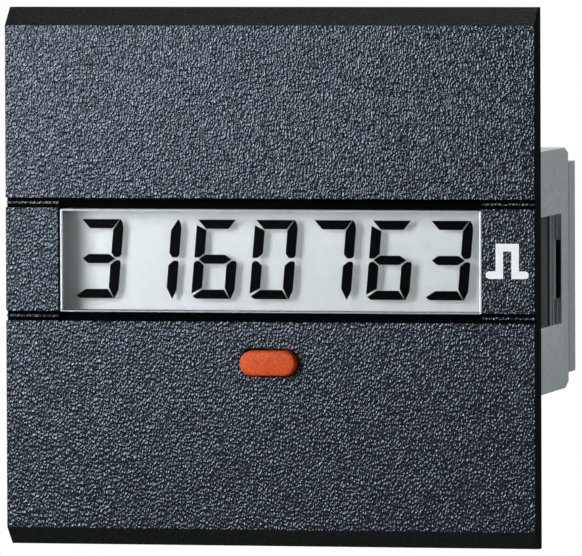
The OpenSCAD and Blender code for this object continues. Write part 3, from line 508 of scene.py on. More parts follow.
class Finishes:
    """Every finish of the meter."""

    BEZEL_GRAIN = GrainedFinish(
        "bezel_black_grain", (0.0093, 0.0129, 0.017), (0.0067, 0.0093, 0.0124), rough=0.154, specular=0.6,
        tint=(0.77, 0.87, 1.0), mottle=2.0, relief=(0.24, 82.0))
    BEZEL_SATIN = Finish(
        "bezel_black_satin", (0.0014, 0.0018, 0.0017), (0.0008, 0.0011, 0.001), specular=0.055,
        mottle=0.4, specks=(0.22, 0.5, (0.012, 0.0135, 0.0115)), relief=(0.16, 50.0))
    # painted shade: a darker, duller black for recessed faces, gaps and strips where shade falls
    BEZEL_SHADE_BLACK = VeilFinish(
        "bezel_black_painted_shade", (0.0012, 0.0013, 0.0014), (0.0007, 0.0008, 0.0009), rough=0.9, specular=0.03,
        mottle=1.2, relief=(0.2, 10.0), shade=0.12)
    BEZEL_TONGUE = Finish(
        "bezel_black_tongue", (0.085, 0.088, 0.088), (0.06, 0.063, 0.063), specular=0.4, mottle=0.8,
        relief=(0.2, 12.0))
    LENS_CLEAR = ClearFinish(
        "window_clear", (0.05, 0.055, 0.06), (0.04, 0.045, 0.05), rough=0.1, mottle=6.0,
        relief=(1.5, 0.5), alpha=0.008)
    # painted highlight: the frosted side edges glow, standing in for light piped through the lens
    LENS_EDGE_GLOW = VeilFinish(
        "window_frosted_edge_painted_glow", (0.86, 0.9, 0.92), (0.78, 0.82, 0.84), rough=0.35, mottle=0.5,
        relief=(0.12, 6.0), shade=0.3, glow=0.55)
    LENS_RIM = VeilFinish(
        "window_frosted_rim", (0.5, 0.53, 0.54), (0.4, 0.43, 0.44), rough=0.4, mottle=0.5,
        relief=(0.12, 6.0), shade=0.2)
    # painted shade: a dark line on the lens's front beside its left and bottom edges
    LENS_SHADE_LINE = Finish(
        "window_painted_shade_line", (0.03, 0.034, 0.038), (0.02, 0.023, 0.026), rough=0.4, specular=0.3,
        mottle=0.5, relief=(0.12, 2.0), alpha=0.6)
    PRINT = Finish(
        "print_white", (0.95, 0.95, 0.95), (0.88, 0.88, 0.88), rough=0.55, mottle=0.5, relief=(0.3, 12.0))
    BUTTON = Finish(
        "button_orange", (0.6, 0.074, 0.011), (0.5, 0.053, 0.008), rough=0.62, specular=0.26, mottle=0.5,
        specks=(0.18, 0.36, (0.72, 0.18, 0.035)), relief=(0.16, 26.0))
    POLARISER = ClearFinish(
        "polariser_film", (0.06, 0.065, 0.07), (0.05, 0.055, 0.06), rough=0.45, mottle=5.0,
        relief=(0.3, 2.0), alpha=0.012)
    GLASS = ClearFinish(
        "display_glass", (0.03, 0.035, 0.035), (0.025, 0.03, 0.03), rough=0.05, mottle=8.0,
        relief=(2.0, 0.5), alpha=0.006)
    SEGMENT = VeilFinish(
        "segment_dark", (0.0006, 0.0006, 0.0008), (0.0012, 0.0012, 0.0014), rough=0.7, specular=0.0,
        mottle=0.8, relief=(0.2, 2.0), shade=0.36)
    REFLECTOR = Finish(
        "reflector_grey", (0.75, 0.77, 0.765), (0.71, 0.735, 0.73), rough=0.75, specular=0.2, mottle=0.7,
        relief=(0.15, 4.0))
    HOLDER = Finish(
        "holder_white", (0.62, 0.63, 0.6), (0.55, 0.56, 0.53), specks=(0.6, 0.1, (0.4, 0.4, 0.38)),
        wear=(0.8, 0.8, 0.78))
    ELASTOMER = Finish(
        "elastomer_pink", (0.6, 0.25, 0.24), (0.5, 0.2, 0.2), rough=0.8, mottle=0.6, relief=(0.25, 10.0),
        stretch=(8.0, 1.0, 1.0))
    BOARD_GREEN = BoardFinish(
        "board_green", (0.012, 0.09, 0.03), (0.01, 0.07, 0.025), rough=0.35, relief=(0.5, 30.0))
    BOARD_AMBER = BoardFinish(
        "board_amber", (0.38, 0.24, 0.08), (0.32, 0.2, 0.07), relief=(0.5, 30.0), track=(0.5, 0.3, 0.12))
    PACKAGE_BLACK = Finish(
        "package_black", (0.02, 0.02, 0.022), (0.03, 0.03, 0.032), rough=0.62, mottle=1.4,
        specks=(0.3, 0.12, (0.06, 0.06, 0.06)), wear=(0.1, 0.1, 0.1), relief=(0.12, 5.0))
    PACKAGE_WHITE = Finish(
        "package_white", (0.72, 0.71, 0.66), (0.64, 0.63, 0.58), specks=(0.6, 0.12, (0.5, 0.48, 0.42)),
        wear=(0.85, 0.84, 0.8))
    PLUNGER = Finish(
        "plunger_black", (0.015, 0.015, 0.016), (0.022, 0.022, 0.024), rough=0.45, mottle=0.8,
        specks=(0.6, 0.1, (0.05, 0.05, 0.05)), wear=(0.09, 0.09, 0.09))
    LEAD = BrushedFinish(
        "lead_tinned", (0.66, 0.65, 0.62), (0.56, 0.55, 0.52), rough=0.32, mottle=0.8, relief=(0.1, 3.0),
        stretch=(1.0, 0.15, 1.0))
    CAN_STEEL = BrushedFinish(
        "can_steel", (0.6, 0.6, 0.6), (0.5, 0.5, 0.5), rough=0.25, mottle=1.0, relief=(0.15, 3.0),
        stretch=(1.0, 1.0, 0.1))
    COVER_STEEL = BrushedFinish(
        "cover_steel", (0.62, 0.6, 0.56), (0.5, 0.48, 0.45), rough=0.3, mottle=1.2, relief=(0.15, 3.0),
        stretch=(0.1, 1.0, 1.0))
    CAN_ALUMINIUM = BrushedFinish(
        "can_aluminium", (0.78, 0.78, 0.79), (0.68, 0.68, 0.7), rough=0.28, mottle=2.0, relief=(0.2, 3.0),
        stretch=(1.0, 0.1, 1.0))
    CERAMIC = Finish(
        "capacitor_ceramic", (0.4, 0.28, 0.18), (0.33, 0.23, 0.15), mottle=0.4,
        specks=(0.2, 0.2, (0.5, 0.4, 0.3)), relief=(0.1, 6.0))
    GILT = BrushedFinish(
        "pin_gilt", (0.78, 0.56, 0.24), (0.66, 0.46, 0.2), rough=0.25, mottle=0.8, relief=(0.12, 2.0),
        stretch=(1.0, 0.15, 1.0))
    SLEEVE = Finish(
        "sleeve_blue", (0.02, 0.05, 0.22), (0.015, 0.04, 0.17), rough=0.3, mottle=2.0,
        specks=(0.6, 0.06, (0.05, 0.09, 0.3)), relief=(0.6, 8.0))
    VARISTOR = Finish(
        "varistor_blue", (0.03, 0.1, 0.36), (0.02, 0.08, 0.3), rough=0.35, mottle=1.5,
        specks=(0.6, 0.1, (0.06, 0.15, 0.45)), relief=(0.8, 25.0))
    FILM = Finish(
        "film_red", (0.42, 0.035, 0.02), (0.34, 0.03, 0.018), rough=0.35, mottle=1.5,
        specks=(0.6, 0.08, (0.5, 0.08, 0.05)), wear=(0.6, 0.15, 0.1), relief=(0.6, 12.0))
    RESISTOR = Finish(
        "resistor_tan", (0.58, 0.44, 0.27), (0.5, 0.37, 0.22), rough=0.45, mottle=0.8,
        specks=(0.6, 0.15, (0.4, 0.28, 0.16)), relief=(0.3, 10.0))
    HOUSING = Finish(
        "housing_grey", (0.49, 0.52, 0.53), (0.45, 0.48, 0.49), specular=0.4, mottle=1.6,
        specks=(0.35, 0.14, (0.38, 0.4, 0.41)), wear=(0.6, 0.62, 0.63), relief=(0.2, 9.0))
    # painted shade: a darker grey for the recess round each hook
    HOUSING_SHADE = Finish(
        "housing_grey_painted_shade", (0.22, 0.235, 0.24), (0.17, 0.185, 0.19), rough=0.55, specular=0.35,
        mottle=1.0, relief=(0.2, 12.0))
    COVER = Finish(
        "cover_grey", (0.4, 0.425, 0.435), (0.36, 0.385, 0.395), specular=0.4, mottle=1.6,
        specks=(0.35, 0.14, (0.3, 0.32, 0.33)), wear=(0.5, 0.52, 0.53), relief=(0.2, 9.0))
    BLADE = BrushedFinish(
        "blade_tinned", (0.74, 0.68, 0.52), (0.62, 0.56, 0.42), rough=0.3, mottle=1.5, relief=(0.12, 3.0),
        stretch=(1.0, 0.08, 1.0), stain=(0.4, 0.33, 0.22))


# --- mesh building


class Form:
    """A mesh under construction, in millimetres, made with Blender's mesh operators."""

    flat_angle: ClassVar[float] = 1.0
    edge_angle: ClassVar[float] = 30.0
    plane_width: ClassVar[float] = 1e-5

    def __init__(self, *finishes: Finish) -> None:
        """Starts an empty mesh.

        Args:
            *finishes: What its faces may show; they show the first until they are marked.
        """
        self.bm = bmesh.new()
        self.finishes = finishes

    @classmethod
    def merged_copy(cls, node: str, *finishes: Finish, radius: float = 0.0,
                    shortest: float = 0.0) -> "Form":
        """A copy of a CAD node, its triangles merged into flat faces and its edges rounded.

        Args:
            node: The CAD node's name.
            *finishes: What its faces may show.
            radius: Radius of the edges.
            shortest: Shortest edge that is rounded.

        Returns:
            The form.
        """
        form = cls(*finishes)
        form.bm.from_mesh(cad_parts[node].data)
        bmesh.ops.scale(form.bm, vec=Vector((1.0, 1.0, 1.0)) / MM, verts=form.bm.verts)
        bmesh.ops.remove_doubles(form.bm, verts=form.bm.verts, dist=2 * TOUCH)
        bmesh.ops.dissolve_limit(
            form.bm, angle_limit=math.radians(cls.flat_angle), verts=form.bm.verts, edges=form.bm.edges,
            delimit=set())
        if radius > 0:
            form.soften(form.sharp(cls.edge_angle, shortest), radius)
        return form

    def block(self, low: Point, high: Point, radius: float = 0.0, finish: Finish | None = None) -> None:
        """Adds a box, with its edges rounded.

        Args:
            low: Its lowest corner.
            high: Its highest corner.
            radius: Radius of its edges.
            finish: What it shows, where that is not the form's first finish.
        """
        before = set(self.bm.faces)
        made = bmesh.ops.create_cube(self.bm, size=1.0)["verts"]
        bmesh.ops.scale(self.bm, vec=Vector(high) - Vector(low), verts=made)
        bmesh.ops.translate(self.bm, vec=(Vector(low) + Vector(high)) / 2, verts=made)
        if radius > 0:
            self.soften({edge for vert in made for edge in vert.link_edges}, radius)
        for face in self.bm.faces:
            if face not in before:
                face.material_index = self.finishes.index(finish) if finish else 0

    def soften(self, edges: Iterable[Edge], radius: float, segments: int = 2) -> None:
        """Rounds edges.

        Args:
            edges: The edges.
            radius: Radius of the rounding.
            segments: Number of steps in it.
        """
        bmesh.ops.bevel(
            self.bm, geom=list(edges), offset=radius, offset_type="OFFSET", affect="EDGES",
            segments=segments, profile=0.5, material=-1, clamp_overlap=True)

    def sharp(self, degrees: float, shortest: float = 0.0) -> list[Edge]:
        """Finds the edges where two faces meet at an angle.

        Args:
            degrees: Smallest angle that counts.
            shortest: Shortest edge that counts.

        Returns:
            The edges.
        """
        limit = math.radians(degrees)
        return [edge for edge in self.bm.edges if len(edge.link_faces) == 2
                and edge.calc_face_angle(0.0) > limit and edge.calc_length() >= shortest]

    def cut(self, axis: Axis, places: Iterable[float]) -> None:
        """Cuts every face along planes across an axis.

        Args:
            axis: The axis across which the planes lie.
            places: Where each plane crosses it.
        """
        normal = Vector((0.0, 0.0, 0.0))
        normal[axis.value] = 1.0
        for place in places:
            geometry = [*self.bm.verts, *self.bm.edges, *self.bm.faces]
            bmesh.ops.bisect_plane(
                self.bm, geom=geometry, dist=self.plane_width, plane_co=normal * place, plane_no=normal)

    def faces(self, test: Test) -> list[bmesh.types.BMFace]:
        """Finds faces by their middle and normal.

        Args:
            test: Says whether a face with that middle and normal is wanted.

        Returns:
            The faces.
        """
        self.bm.normal_update()
        return [face for face in self.bm.faces if test(face.calc_center_median(), face.normal)]

    def drop(self, test: Test) -> None:
        """Deletes the faces that a test picks."""
        bmesh.ops.delete(self.bm, geom=self.faces(test), context="FACES")

    def mark(self, test: Test, finish: Finish) -> None:
        """Gives the faces that a test picks one of the finishes."""
        for face in self.faces(test):
            face.material_index = self.finishes.index(finish)

    def sink(self, test: Test, depth: float) -> None:
        """Moves the faces that a test picks along y, with walls round them.

        Args:
            test: Says whether a face with that middle and normal is moved.
            depth: How far they move.
        """
        faces = self.faces(test)
        made = bmesh.ops.extrude_face_region(self.bm, geom=faces)["geom"]
        bmesh.ops.delete(self.bm, geom=faces, context="FACES")
        bmesh.ops.translate(self.bm, vec=(0.0, depth, 0.0), verts=self._verts(made))

    @staticmethod
    def _verts(made: Iterable[Any]) -> list[bmesh.types.BMVert]:
        """The points in what an operator made."""
        return [item for item in made if isinstance(item, bmesh.types.BMVert)]

    def stadium(self, width: float, height: float, middle: Vector,
                segments: int = 32) -> list[bmesh.types.BMVert]:
        """Adds the outline of a bar with round ends, in the plane of x and z.

        Args:
            width: Its width.
            height: Its height.
            middle: Its middle.
            segments: Points round it.

        Returns:
            Its points.
        """
        spin = Matrix.Rotation(math.pi / 2, 4, "X") @ Matrix.Rotation(math.pi / segments, 4, "Z")
        verts = bmesh.ops.create_circle(
            self.bm, cap_ends=False, radius=height / 2, segments=segments, matrix=spin)["verts"]
        for vert in verts:
            vert.co.x += math.copysign((width - height) / 2, vert.co.x)
        bmesh.ops.translate(self.bm, vec=middle, verts=verts)
        return verts

    def step_loop(self, edges: Sequence[Edge], move: Move) -> list[Edge]:
        """Extrudes a loop of edges and moves its new points.

        Args:
            edges: The loop.
            move: Gives a new place for each point.

        Returns:
            The new loop.
        """
        verts = self._verts(bmesh.ops.extrude_edge_only(self.bm, edges=list(edges))["geom"])
        for vert in verts:
            vert.co = move(vert.co)
        bmesh.ops.remove_doubles(self.bm, verts=verts, dist=TOUCH)
        kept = {vert for vert in verts if vert.is_valid}
        return list({edge for vert in kept for edge in vert.link_edges
                     if edge.is_boundary and kept.issuperset(edge.verts)})

    def finish(self, name: str, nodes: Sequence[str], slot: str, body: Body = Body.METER,
               smooth: float = 30.0) -> None:
        """Makes the object, in metres, and ties it to the frame.

        Args:
            name: The piece's name.
            nodes: The CAD nodes that it stands for.
            slot: The record's material slot; it is not used.
            body: The body that it rides on.
            smooth: Angle below which neighbouring faces shade smoothly.
        """
        bmesh.ops.scale(self.bm, vec=Vector((MM, MM, MM)), verts=self.bm.verts)
        mesh = bpy.data.meshes.new(name)
        self.bm.to_mesh(mesh)
        self.bm.free()
        for finish in self.finishes:
            mesh.materials.append(finish.material())
        mesh.shade_smooth()
        mesh.set_sharp_from_angle(angle=math.radians(smooth))
        piece = add_object(name, mesh)
        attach(piece, body.value)
        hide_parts(*nodes)
        LOG.info("%s: %d faces", name, len(mesh.polygons))


def add_object(name: str, data: bpy.types.ID) -> bpy.types.Object:
    """Adds an object to the scene.

    Args:
        name: Its name.
        data: Its mesh, lamp or lens.

    Returns:
        The object.
    """
    made = bpy.data.objects.new(name, data)
    bpy.context.scene.collection.objects.link(made)
    return made


def to_depth(y: float) -> Move:
    """A move of every point to one depth."""
    return lambda at: Vector((at.x, y, at.z))


def box_mm(node: str) -> tuple[Vector, Vector]:
    """The box of a CAD node in millimetres.

    Args:
        node: The node's name.

    Returns:
        Its lowest and highest corner.
    """
    low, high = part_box(node)
    return low / MM, high / MM


def dress(node: str, finish: Finish) -> None:
    """Gives a CAD node its finish.

    Args:
        node: The node's name.
        finish: Its finish.
    """
    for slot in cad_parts[node].material_slots:
        slot.material = finish.material()
    LOG.info("%s: %s", node, finish.name)


# --- sub-assemblies


@dataclass
class FrontBezel:
    """The black front: bevelled plate, stepped channels, the window's opening, rim and snap tongues."""

    half: float = 24.0
    front: float = -3.15
    back: float = -1.15
    rim: float = 22.7
    bevel_h: float = 1.6
    bevel_d: float = 2.0
    channel_d: float = 0.6
    window_channel_d: float = 0.95
    channels: tuple[Pair, Pair] = ((6.17, 7.05), (-3.93, -3.05))
    shade_depth: Pair = (0.1, 1.0)
    ridge_h: float = 0.19
    ridge_rise: float = 0.35
    opening_x: float = 19.22
    opening_z: Pair = (-3.28, 6.28)
    lip_x: float = 19.82
    lip_y: float = -2.18
    pocket: Four = (20.05, -1.55, -5.39, 8.51)
    button: Point = (5.53, 2.56, -7.5)
    button_land: float = 0.8
    button_zone: Pair = (6.0, -5.0)
    edge: float = 0.07
    edge_y: float = -1.25
    edge_angle: float = 25.0
    ribs: Four = (11.5, 12.5, 11.1, 22.6)
    rib_y: Pair = (-1.25, -0.3)
    blocks: tuple[tuple[Point, Point, Finish], ...] = (
        ((21.4, -1.3, -4.9), (22.2, 12.6, 4.9), Finishes.BEZEL_TONGUE),
        ((20.4, 10.0, -2.6), (21.8, 12.35, 2.6), Finishes.BEZEL_SATIN),
        ((20.42, 10.05, -2.58), (21.05, 17.5, 2.58), Finishes.BEZEL_SATIN),
        ((20.4, 16.7, -2.6), (22.42, 17.9, 2.6), Finishes.BEZEL_SHADE_BLACK),
        ((6.0, -1.3, -9.5), (17.0, 2.0, -8.8), Finishes.BEZEL_SATIN),
        # painted shade: a black block that fills the gap at the tongue's end
        ((21.45, 12.5, -4.85), (22.17, 13.7, 4.85), Finishes.BEZEL_SHADE_BLACK))
    rail: tuple[Point, Point] = ((-17.0, -1.3, 8.8), (17.0, 2.0, 9.5))
    block_edge: float = 0.05
    mask_h: float = 0.25
    mask_lap: float = 0.05
    mask_y: Pair = (-1.64, -1.56)

    def build(self) -> None:
        """Builds the front and its back, and ties it to the frame."""
        form = Form(Finishes.BEZEL_SATIN, Finishes.BEZEL_GRAIN, Finishes.BEZEL_SHADE_BLACK, Finishes.BEZEL_TONGUE)
        self._face(form)
        self._channels(form)
        self._shell(form)
        bmesh.ops.recalc_face_normals(form.bm, faces=form.bm.faces)
        self._round(form)
        self._mark(form)
        self._back_parts(form)
        form.finish("bezel_front", ("front_bezel",), "bezel_black")

    def _face(self, form: Form) -> None:
        """Lays out the front face with its openings.

        Args:
            form: The form.
        """
        turned = Matrix.Translation((0.0, self.front, 0.0)) @ Matrix.Rotation(math.pi / 2, 4, "X")
        bmesh.ops.create_grid(form.bm, x_segments=1, y_segments=1, size=self.half, matrix=turned)
        width, height, middle = self.button
        hole_x, hole_z = width / 2 + self.button_land, height / 2 + self.button_land
        start, end = self.opening_z
        ridges = [(low + high) / 2 + side * self.ridge_h / 2
                  for low, high in self.channels for side in (-1, 1)]
        form.cut(Axis.X, (-self.opening_x, self.opening_x, -hole_x, hole_x))
        form.cut(Axis.Z, (
            -self.half + self.bevel_h, self.half - self.bevel_h, start, end, *ridges, middle - hole_z,
            middle + hole_z, *(z for pair in self.channels for z in pair)))
        form.drop(lambda at, _: abs(at.x) < self.opening_x and start < at.z < end)
        cell = form.faces(lambda at, _: abs(at.x) < hole_x and abs(at.z - middle) < hole_z)
        rim = [edge for face in cell for edge in face.edges]
        bmesh.ops.delete(form.bm, geom=cell, context="FACES_ONLY")
        ring = form.stadium(width, height, Vector((0.0, self.front, middle)))
        edges = list({edge for vert in ring for edge in vert.link_edges})
        bmesh.ops.triangle_fill(
            form.bm, edges=rim + edges, use_beauty=True, use_dissolve=False, normal=(0.0, -1.0, 0.0))

    def _channels(self, form: Form) -> None:
        """Sinks the two channels, deeper along the window, raises their ridges and slopes the bevels.

        Args:
            form: The form.
        """
        front, floor = self.front, self.front + self.channel_d
        wide, (start, end) = self.opening_x, self.opening_z
        for low, high in self.channels:
            middle = (low + high) / 2
            form.sink(lambda at, _: low < at.z < high and abs(at.y - front) < NEAR, self.channel_d)
            for side in (-1, 1):
                form.sink(lambda at, _: abs(at.z - middle) < self.ridge_h / 2 and side * at.x > wide
                          and abs(at.y - floor) < NEAR, -self.ridge_rise)
            form.sink(lambda at, _: low < at.z < high and abs(at.x) < wide and abs(at.y - floor) < NEAR,
                      self.window_channel_d - self.channel_d)
        form.drop(lambda at, _: abs(abs(at.x) - self.half) < TOUCH)
        form.drop(lambda at, _: at.y > front + NEAR and (
            abs(at.x) < wide - NEAR and min(abs(at.z - start), abs(at.z - end)) < TOUCH
            or abs(abs(at.x) - wide) < TOUCH and start < at.z < end))
        for vert in form.bm.verts:
            if abs(abs(vert.co.z) - self.half) < TOUCH:
                vert.co.y += self.bevel_d
        bmesh.ops.remove_doubles(form.bm, verts=form.bm.verts, dist=TOUCH)

    def _shell(self, form: Form) -> None:
        """Draws the outer walls back to the rim and the openings through the plate, and closes the back.

        Args:
            form: The form.
        """
        def outer(edge: Edge) -> bool:
            """Whether an edge lies on the outline."""
            return all(max(abs(v.co.x), abs(v.co.z)) > self.half - NEAR for v in edge.verts)

        def wider(at: Vector, old: float, new: float) -> float:
            """The x of a point, moved out if it stands at the old half width."""
            return math.copysign(new, at.x) if abs(abs(at.x) - old) < NEAR else at.x

        open_edges = [edge for edge in form.bm.edges if edge.is_boundary]
        rim = [edge for edge in open_edges if outer(edge)]
        holes = [edge for edge in open_edges if not outer(edge)]
        rim = form.step_loop(rim, to_depth(0.0))
        rim = form.step_loop(rim, lambda at: Vector((
            max(-self.rim, min(self.rim, at.x)), 0.0, max(-self.rim, min(self.rim, at.z)))))
        rim = form.step_loop(rim, to_depth(self.back))
        zone_x, zone_z = self.button_zone
        button = [edge for edge in holes
                  if all(abs(v.co.x) < zone_x and v.co.z < zone_z for v in edge.verts)]
        window = [edge for edge in holes if edge not in button]
        button = form.step_loop(button, to_depth(self.back))
        pocket_x, pocket_y, pocket_low, pocket_high = self.pocket
        middle = sum(self.opening_z) / 2
        for move in (
                to_depth(self.lip_y),
                lambda at: Vector((wider(at, self.opening_x, self.lip_x), at.y, at.z)),
                to_depth(pocket_y),
                lambda at: Vector((
                    wider(at, self.lip_x, pocket_x), at.y, pocket_high if at.z > middle else pocket_low)),
                to_depth(self.back)):
            window = form.step_loop(window, move)
        bmesh.ops.triangle_fill(
            form.bm, edges=rim + window + button, use_beauty=True, use_dissolve=False,
            normal=(0.0, 1.0, 0.0))

    def _round(self, form: Form) -> None:
        """Rounds the sharp edges in front.

        Args:
            form: The form.
        """
        form.soften([edge for edge in form.sharp(self.edge_angle) if all(v.co.y < TOUCH for v in edge.verts)
                     and sum(v.co.y for v in edge.verts) < 2 * self.edge_y], self.edge)

    def _mark(self, form: Form) -> None:
        """Paints shade on the channels and the window's surround as a darker, duller black, and gives the
        flat faces the grain.

        Args:
            form: The form.
        """
        (_, top), (bottom, _) = self.channels
        near, far = (self.front + depth for depth in self.shade_depth)
        form.mark(lambda at, _: abs(at.x) < self.opening_x + NEAR and at.y > near
                  and bottom - NEAR < at.z < top + NEAR, Finishes.BEZEL_SHADE_BLACK)
        for low, high in self.channels:
            form.mark(lambda at, _: low - NEAR < at.z < high + NEAR and near < at.y < far,
                      Finishes.BEZEL_SHADE_BLACK)
        crest = self.front + self.channel_d - self.ridge_rise
        form.mark(lambda at, normal: normal.y < FACING
                  and min(abs(at.y - self.front), abs(at.y - crest)) < NEAR, Finishes.BEZEL_GRAIN)

    def _back_parts(self, form: Form) -> None:
        """Adds the ribs, the rails and the snap tongues.

        Args:
            form: The form.
        """
        near, far, low, high = self.ribs
        for side in (-1, 1):
            for up in (-1, 1):
                x, z = sorted((side * near, side * far)), sorted((up * low, up * high))
                form.block((x[0], self.rib_y[0], z[0]), (x[1], self.rib_y[1], z[1]), self.block_edge)
            for start, end, finish in self.blocks:
                x = sorted((side * start[0], side * end[0]))
                form.block((x[0], *start[1:]), (x[1], *end[1:]), self.block_edge, finish)
        form.block(*self.rail, self.block_edge)
        (near, far), (start, end), lap = self.mask_y, self.opening_z, self.mask_lap
        for low, high in ((start - lap, start + self.mask_h), (end - self.mask_h, end + lap)):
            form.block((-self.lip_x, near, low), (self.lip_x, far, high), finish=Finishes.BEZEL_SHADE_BLACK)


@dataclass
class Lens:
    """The clear window with a lip at each end and frosted edges; the side edges carry a painted glow."""

    chamfer: float = 0.17
    line: float = 0.13
    shade_line_zone: float = 1.0
    corner: float = 0.15
    lip: float = 0.6
    lip_t: float = 0.5
    play: Pair = (0.03, 0.14)
    back_slope: float = 0.9
    side_slope: float = 0.3

    def build(self) -> None:
        """Builds the lens, a little less high than its opening."""
        low, high = box_mm("display_window")
        form = Form(Finishes.LENS_CLEAR, Finishes.LENS_EDGE_GLOW, Finishes.LENS_RIM, Finishes.LENS_SHADE_LINE)
        form.block((low.x + self.lip, low.y, low.z + self.play[0]),
                   (high.x - self.lip, high.y, high.z - self.play[1]))
        corners = [edge for edge in form.bm.edges if abs(edge.verts[0].co.y - edge.verts[1].co.y) > NEAR]
        form.soften(corners, self.corner, segments=3)
        front = [edge for edge in form.bm.edges if all(abs(v.co.y - low.y) < TOUCH for v in edge.verts)]
        form.soften(front, self.chamfer)
        form.mark(lambda _, normal: FACING < normal.y < self.back_slope, Finishes.LENS_RIM)
        # the side edges take the painted glow
        form.mark(lambda _, normal: FACING < normal.y < self.back_slope
                  and abs(normal.z) < self.side_slope, Finishes.LENS_EDGE_GLOW)
        # painted shade: an inset ring on the front, kept dark only near the left and bottom edges
        face = form.faces(lambda _, normal: normal.y < FACING)
        ring = set(bmesh.ops.inset_region(form.bm, faces=face, thickness=self.line)["faces"])
        start, end = low.x + self.shade_line_zone, low.z + self.shade_line_zone
        for face in ring.intersection(form.faces(lambda at, _: at.x < start or at.z < end)):
            face.material_index = form.finishes.index(Finishes.LENS_SHADE_LINE)
        for side in (-1, 1):
            ends = sorted((side * (high.x - self.lip), side * high.x))
            form.block((ends[0], high.y - self.lip_t, low.z), (ends[1], high.y, high.z))
        form.finish("window_lens", ("display_window",), "window_clear")


@dataclass
class Digits:
    """The dark segments of the display, with strokes a little wider than the film's."""

    grow: float = 0.04
    drop: float = 0.04
    wall_slope: float = 0.5

    def build(self) -> None:
        """Builds the segments from the CAD outlines, each edge moved outwards."""
        form = Form.merged_copy("lcd_segments", Finishes.SEGMENT)
        form.bm.normal_update()
        moves = {}
        for vert in form.bm.verts:
            walls = [face.normal.copy() for face in vert.link_faces if abs(face.normal.y) < self.wall_slope]
            if len(walls) > 1:
                moves[vert] = (walls[0] + walls[1]) / (1.0 + walls[0].dot(walls[1]))
        for vert, move in moves.items():
            vert.co += move * self.grow
        bmesh.ops.translate(form.bm, vec=(0.0, 0.0, -self.drop), verts=form.bm.verts)
        form.finish("digit_segments", ("lcd_segments",), "segment_dark")


@dataclass
class ResetKey:
    """The orange button with its collar and stem."""

    edge: float = 0.3
    drop: float = 0.06
    seat: float = 0.05
    collar_w: float = 0.45
    collar_t: float = 0.5
    collar_spread: Pair = (0.75, 1.3)
    stem: float = 1.8
    crown: float = 0.25
    bulge: float = 0.06
    play: Pair = (0.2, 0.14)
    smooth: float = 50.0

    def build(self) -> None:
        """Builds the button and dresses the plunger under it."""
        low, high = box_mm("reset_button")
        middle = (low.z + high.z) / 2 - self.drop
        width = high.x - low.x - 2 * self.collar_w - self.play[0]
        height = high.z - low.z - 2 * self.collar_w - self.play[1]
        collar = FrontBezel.back + self.seat
        form = Form(Finishes.BUTTON)
        form.stadium(width, height, Vector((0.0, collar, middle)), segments=40)
        side = form.step_loop(form.bm.edges[:], to_depth(low.y))
        bmesh.ops.contextual_create(form.bm, geom=side)
        form.soften(side, self.edge, segments=5)
        cap = form.faces(lambda at, _: abs(at.y - low.y) < TOUCH)
        bmesh.ops.inset_region(form.bm, faces=cap, thickness=self.crown, depth=self.bulge)
        base = [edge for edge in form.bm.edges if edge.is_boundary]
        out, up = self.collar_spread
        base = form.step_loop(base, lambda at: Vector((
            at.x + math.copysign(self.collar_w, at.x) * out, at.y, middle + (at.z - middle) * up)))
        base = form.step_loop(base, to_depth(collar + self.collar_t))
        bmesh.ops.contextual_create(form.bm, geom=base)
        bmesh.ops.recalc_face_normals(form.bm, faces=form.bm.faces)
        place = Matrix.Translation((0.0, (collar + high.y) / 2, middle))
        bmesh.ops.create_cone(
            form.bm, cap_ends=True, segments=32, radius1=self.stem / 2, radius2=self.stem / 2,
            depth=high.y - collar, matrix=place @ Matrix.Rotation(math.pi / 2, 4, "X"))
        form.finish("reset_key", ("reset_button",), "button_orange", Body.RESET, self.smooth)
        dress("switch_plunger", Finishes.PLUNGER)


class InnerParts:
    """Parts that keep their CAD shapes and are only dressed."""

    finishes: ClassVar[dict[Finish, tuple[str, ...]]] = {}

    def build(self) -> None:
        """Dresses each part."""
        for finish, nodes in self.finishes.items():
            for node in nodes:
                dress(node, finish)


class DisplayStack(InnerParts):
    """The liquid crystal cell between the window and the board, and what holds it."""

    finishes = {
        Finishes.POLARISER: ("lcd_polariser",),
        Finishes.GLASS: ("lcd_front_glass", "lcd_rear_glass"),
        Finishes.REFLECTOR: ("lcd_reflector",),
        Finishes.HOLDER: ("lcd_holder",),
        Finishes.ELASTOMER: ("zebra_strip_upper", "zebra_strip_lower"),
        Finishes.PRINT: ("pulse_mark",)}


class DisplayBoard(InnerParts):
    """The board behind the display, with the reset switch."""

    finishes = {
        Finishes.BOARD_GREEN: ("display_board",),
        Finishes.PACKAGE_BLACK: ("controller_chip", "memory_chip", "chip_resistors"),
        Finishes.LEAD: ("controller_leads", "memory_leads", "switch_terminals"),
        Finishes.CAN_STEEL: ("clock_crystal",),
        Finishes.CERAMIC: ("chip_capacitors",),
        Finishes.PLUNGER: ("switch_base", "link_spacer"),
        Finishes.COVER_STEEL: ("switch_cover", "switch_dome"),
        Finishes.GILT: ("link_pins",)}


class SupplyBoard(InnerParts):
    """The board at the back, with the supply and the two inputs."""

    finishes = {
        Finishes.BOARD_AMBER: ("supply_board",),
        Finishes.CAN_ALUMINIUM: ("filter_capacitor",),
        Finishes.SLEEVE: ("capacitor_sleeve",),
        Finishes.PACKAGE_BLACK: ("bridge_rectifier", "voltage_regulator"),
        Finishes.PACKAGE_WHITE: ("count_optocoupler", "reset_optocoupler"),
        Finishes.LEAD: ("bridge_leads", "optocoupler_leads", "regulator_leads", "varistor_leads",
                        "film_capacitor_leads", "resistor_leads"),
        Finishes.VARISTOR: ("surge_varistor",),
        Finishes.FILM: ("film_capacitor",),
        Finishes.RESISTOR: ("input_resistors",)}


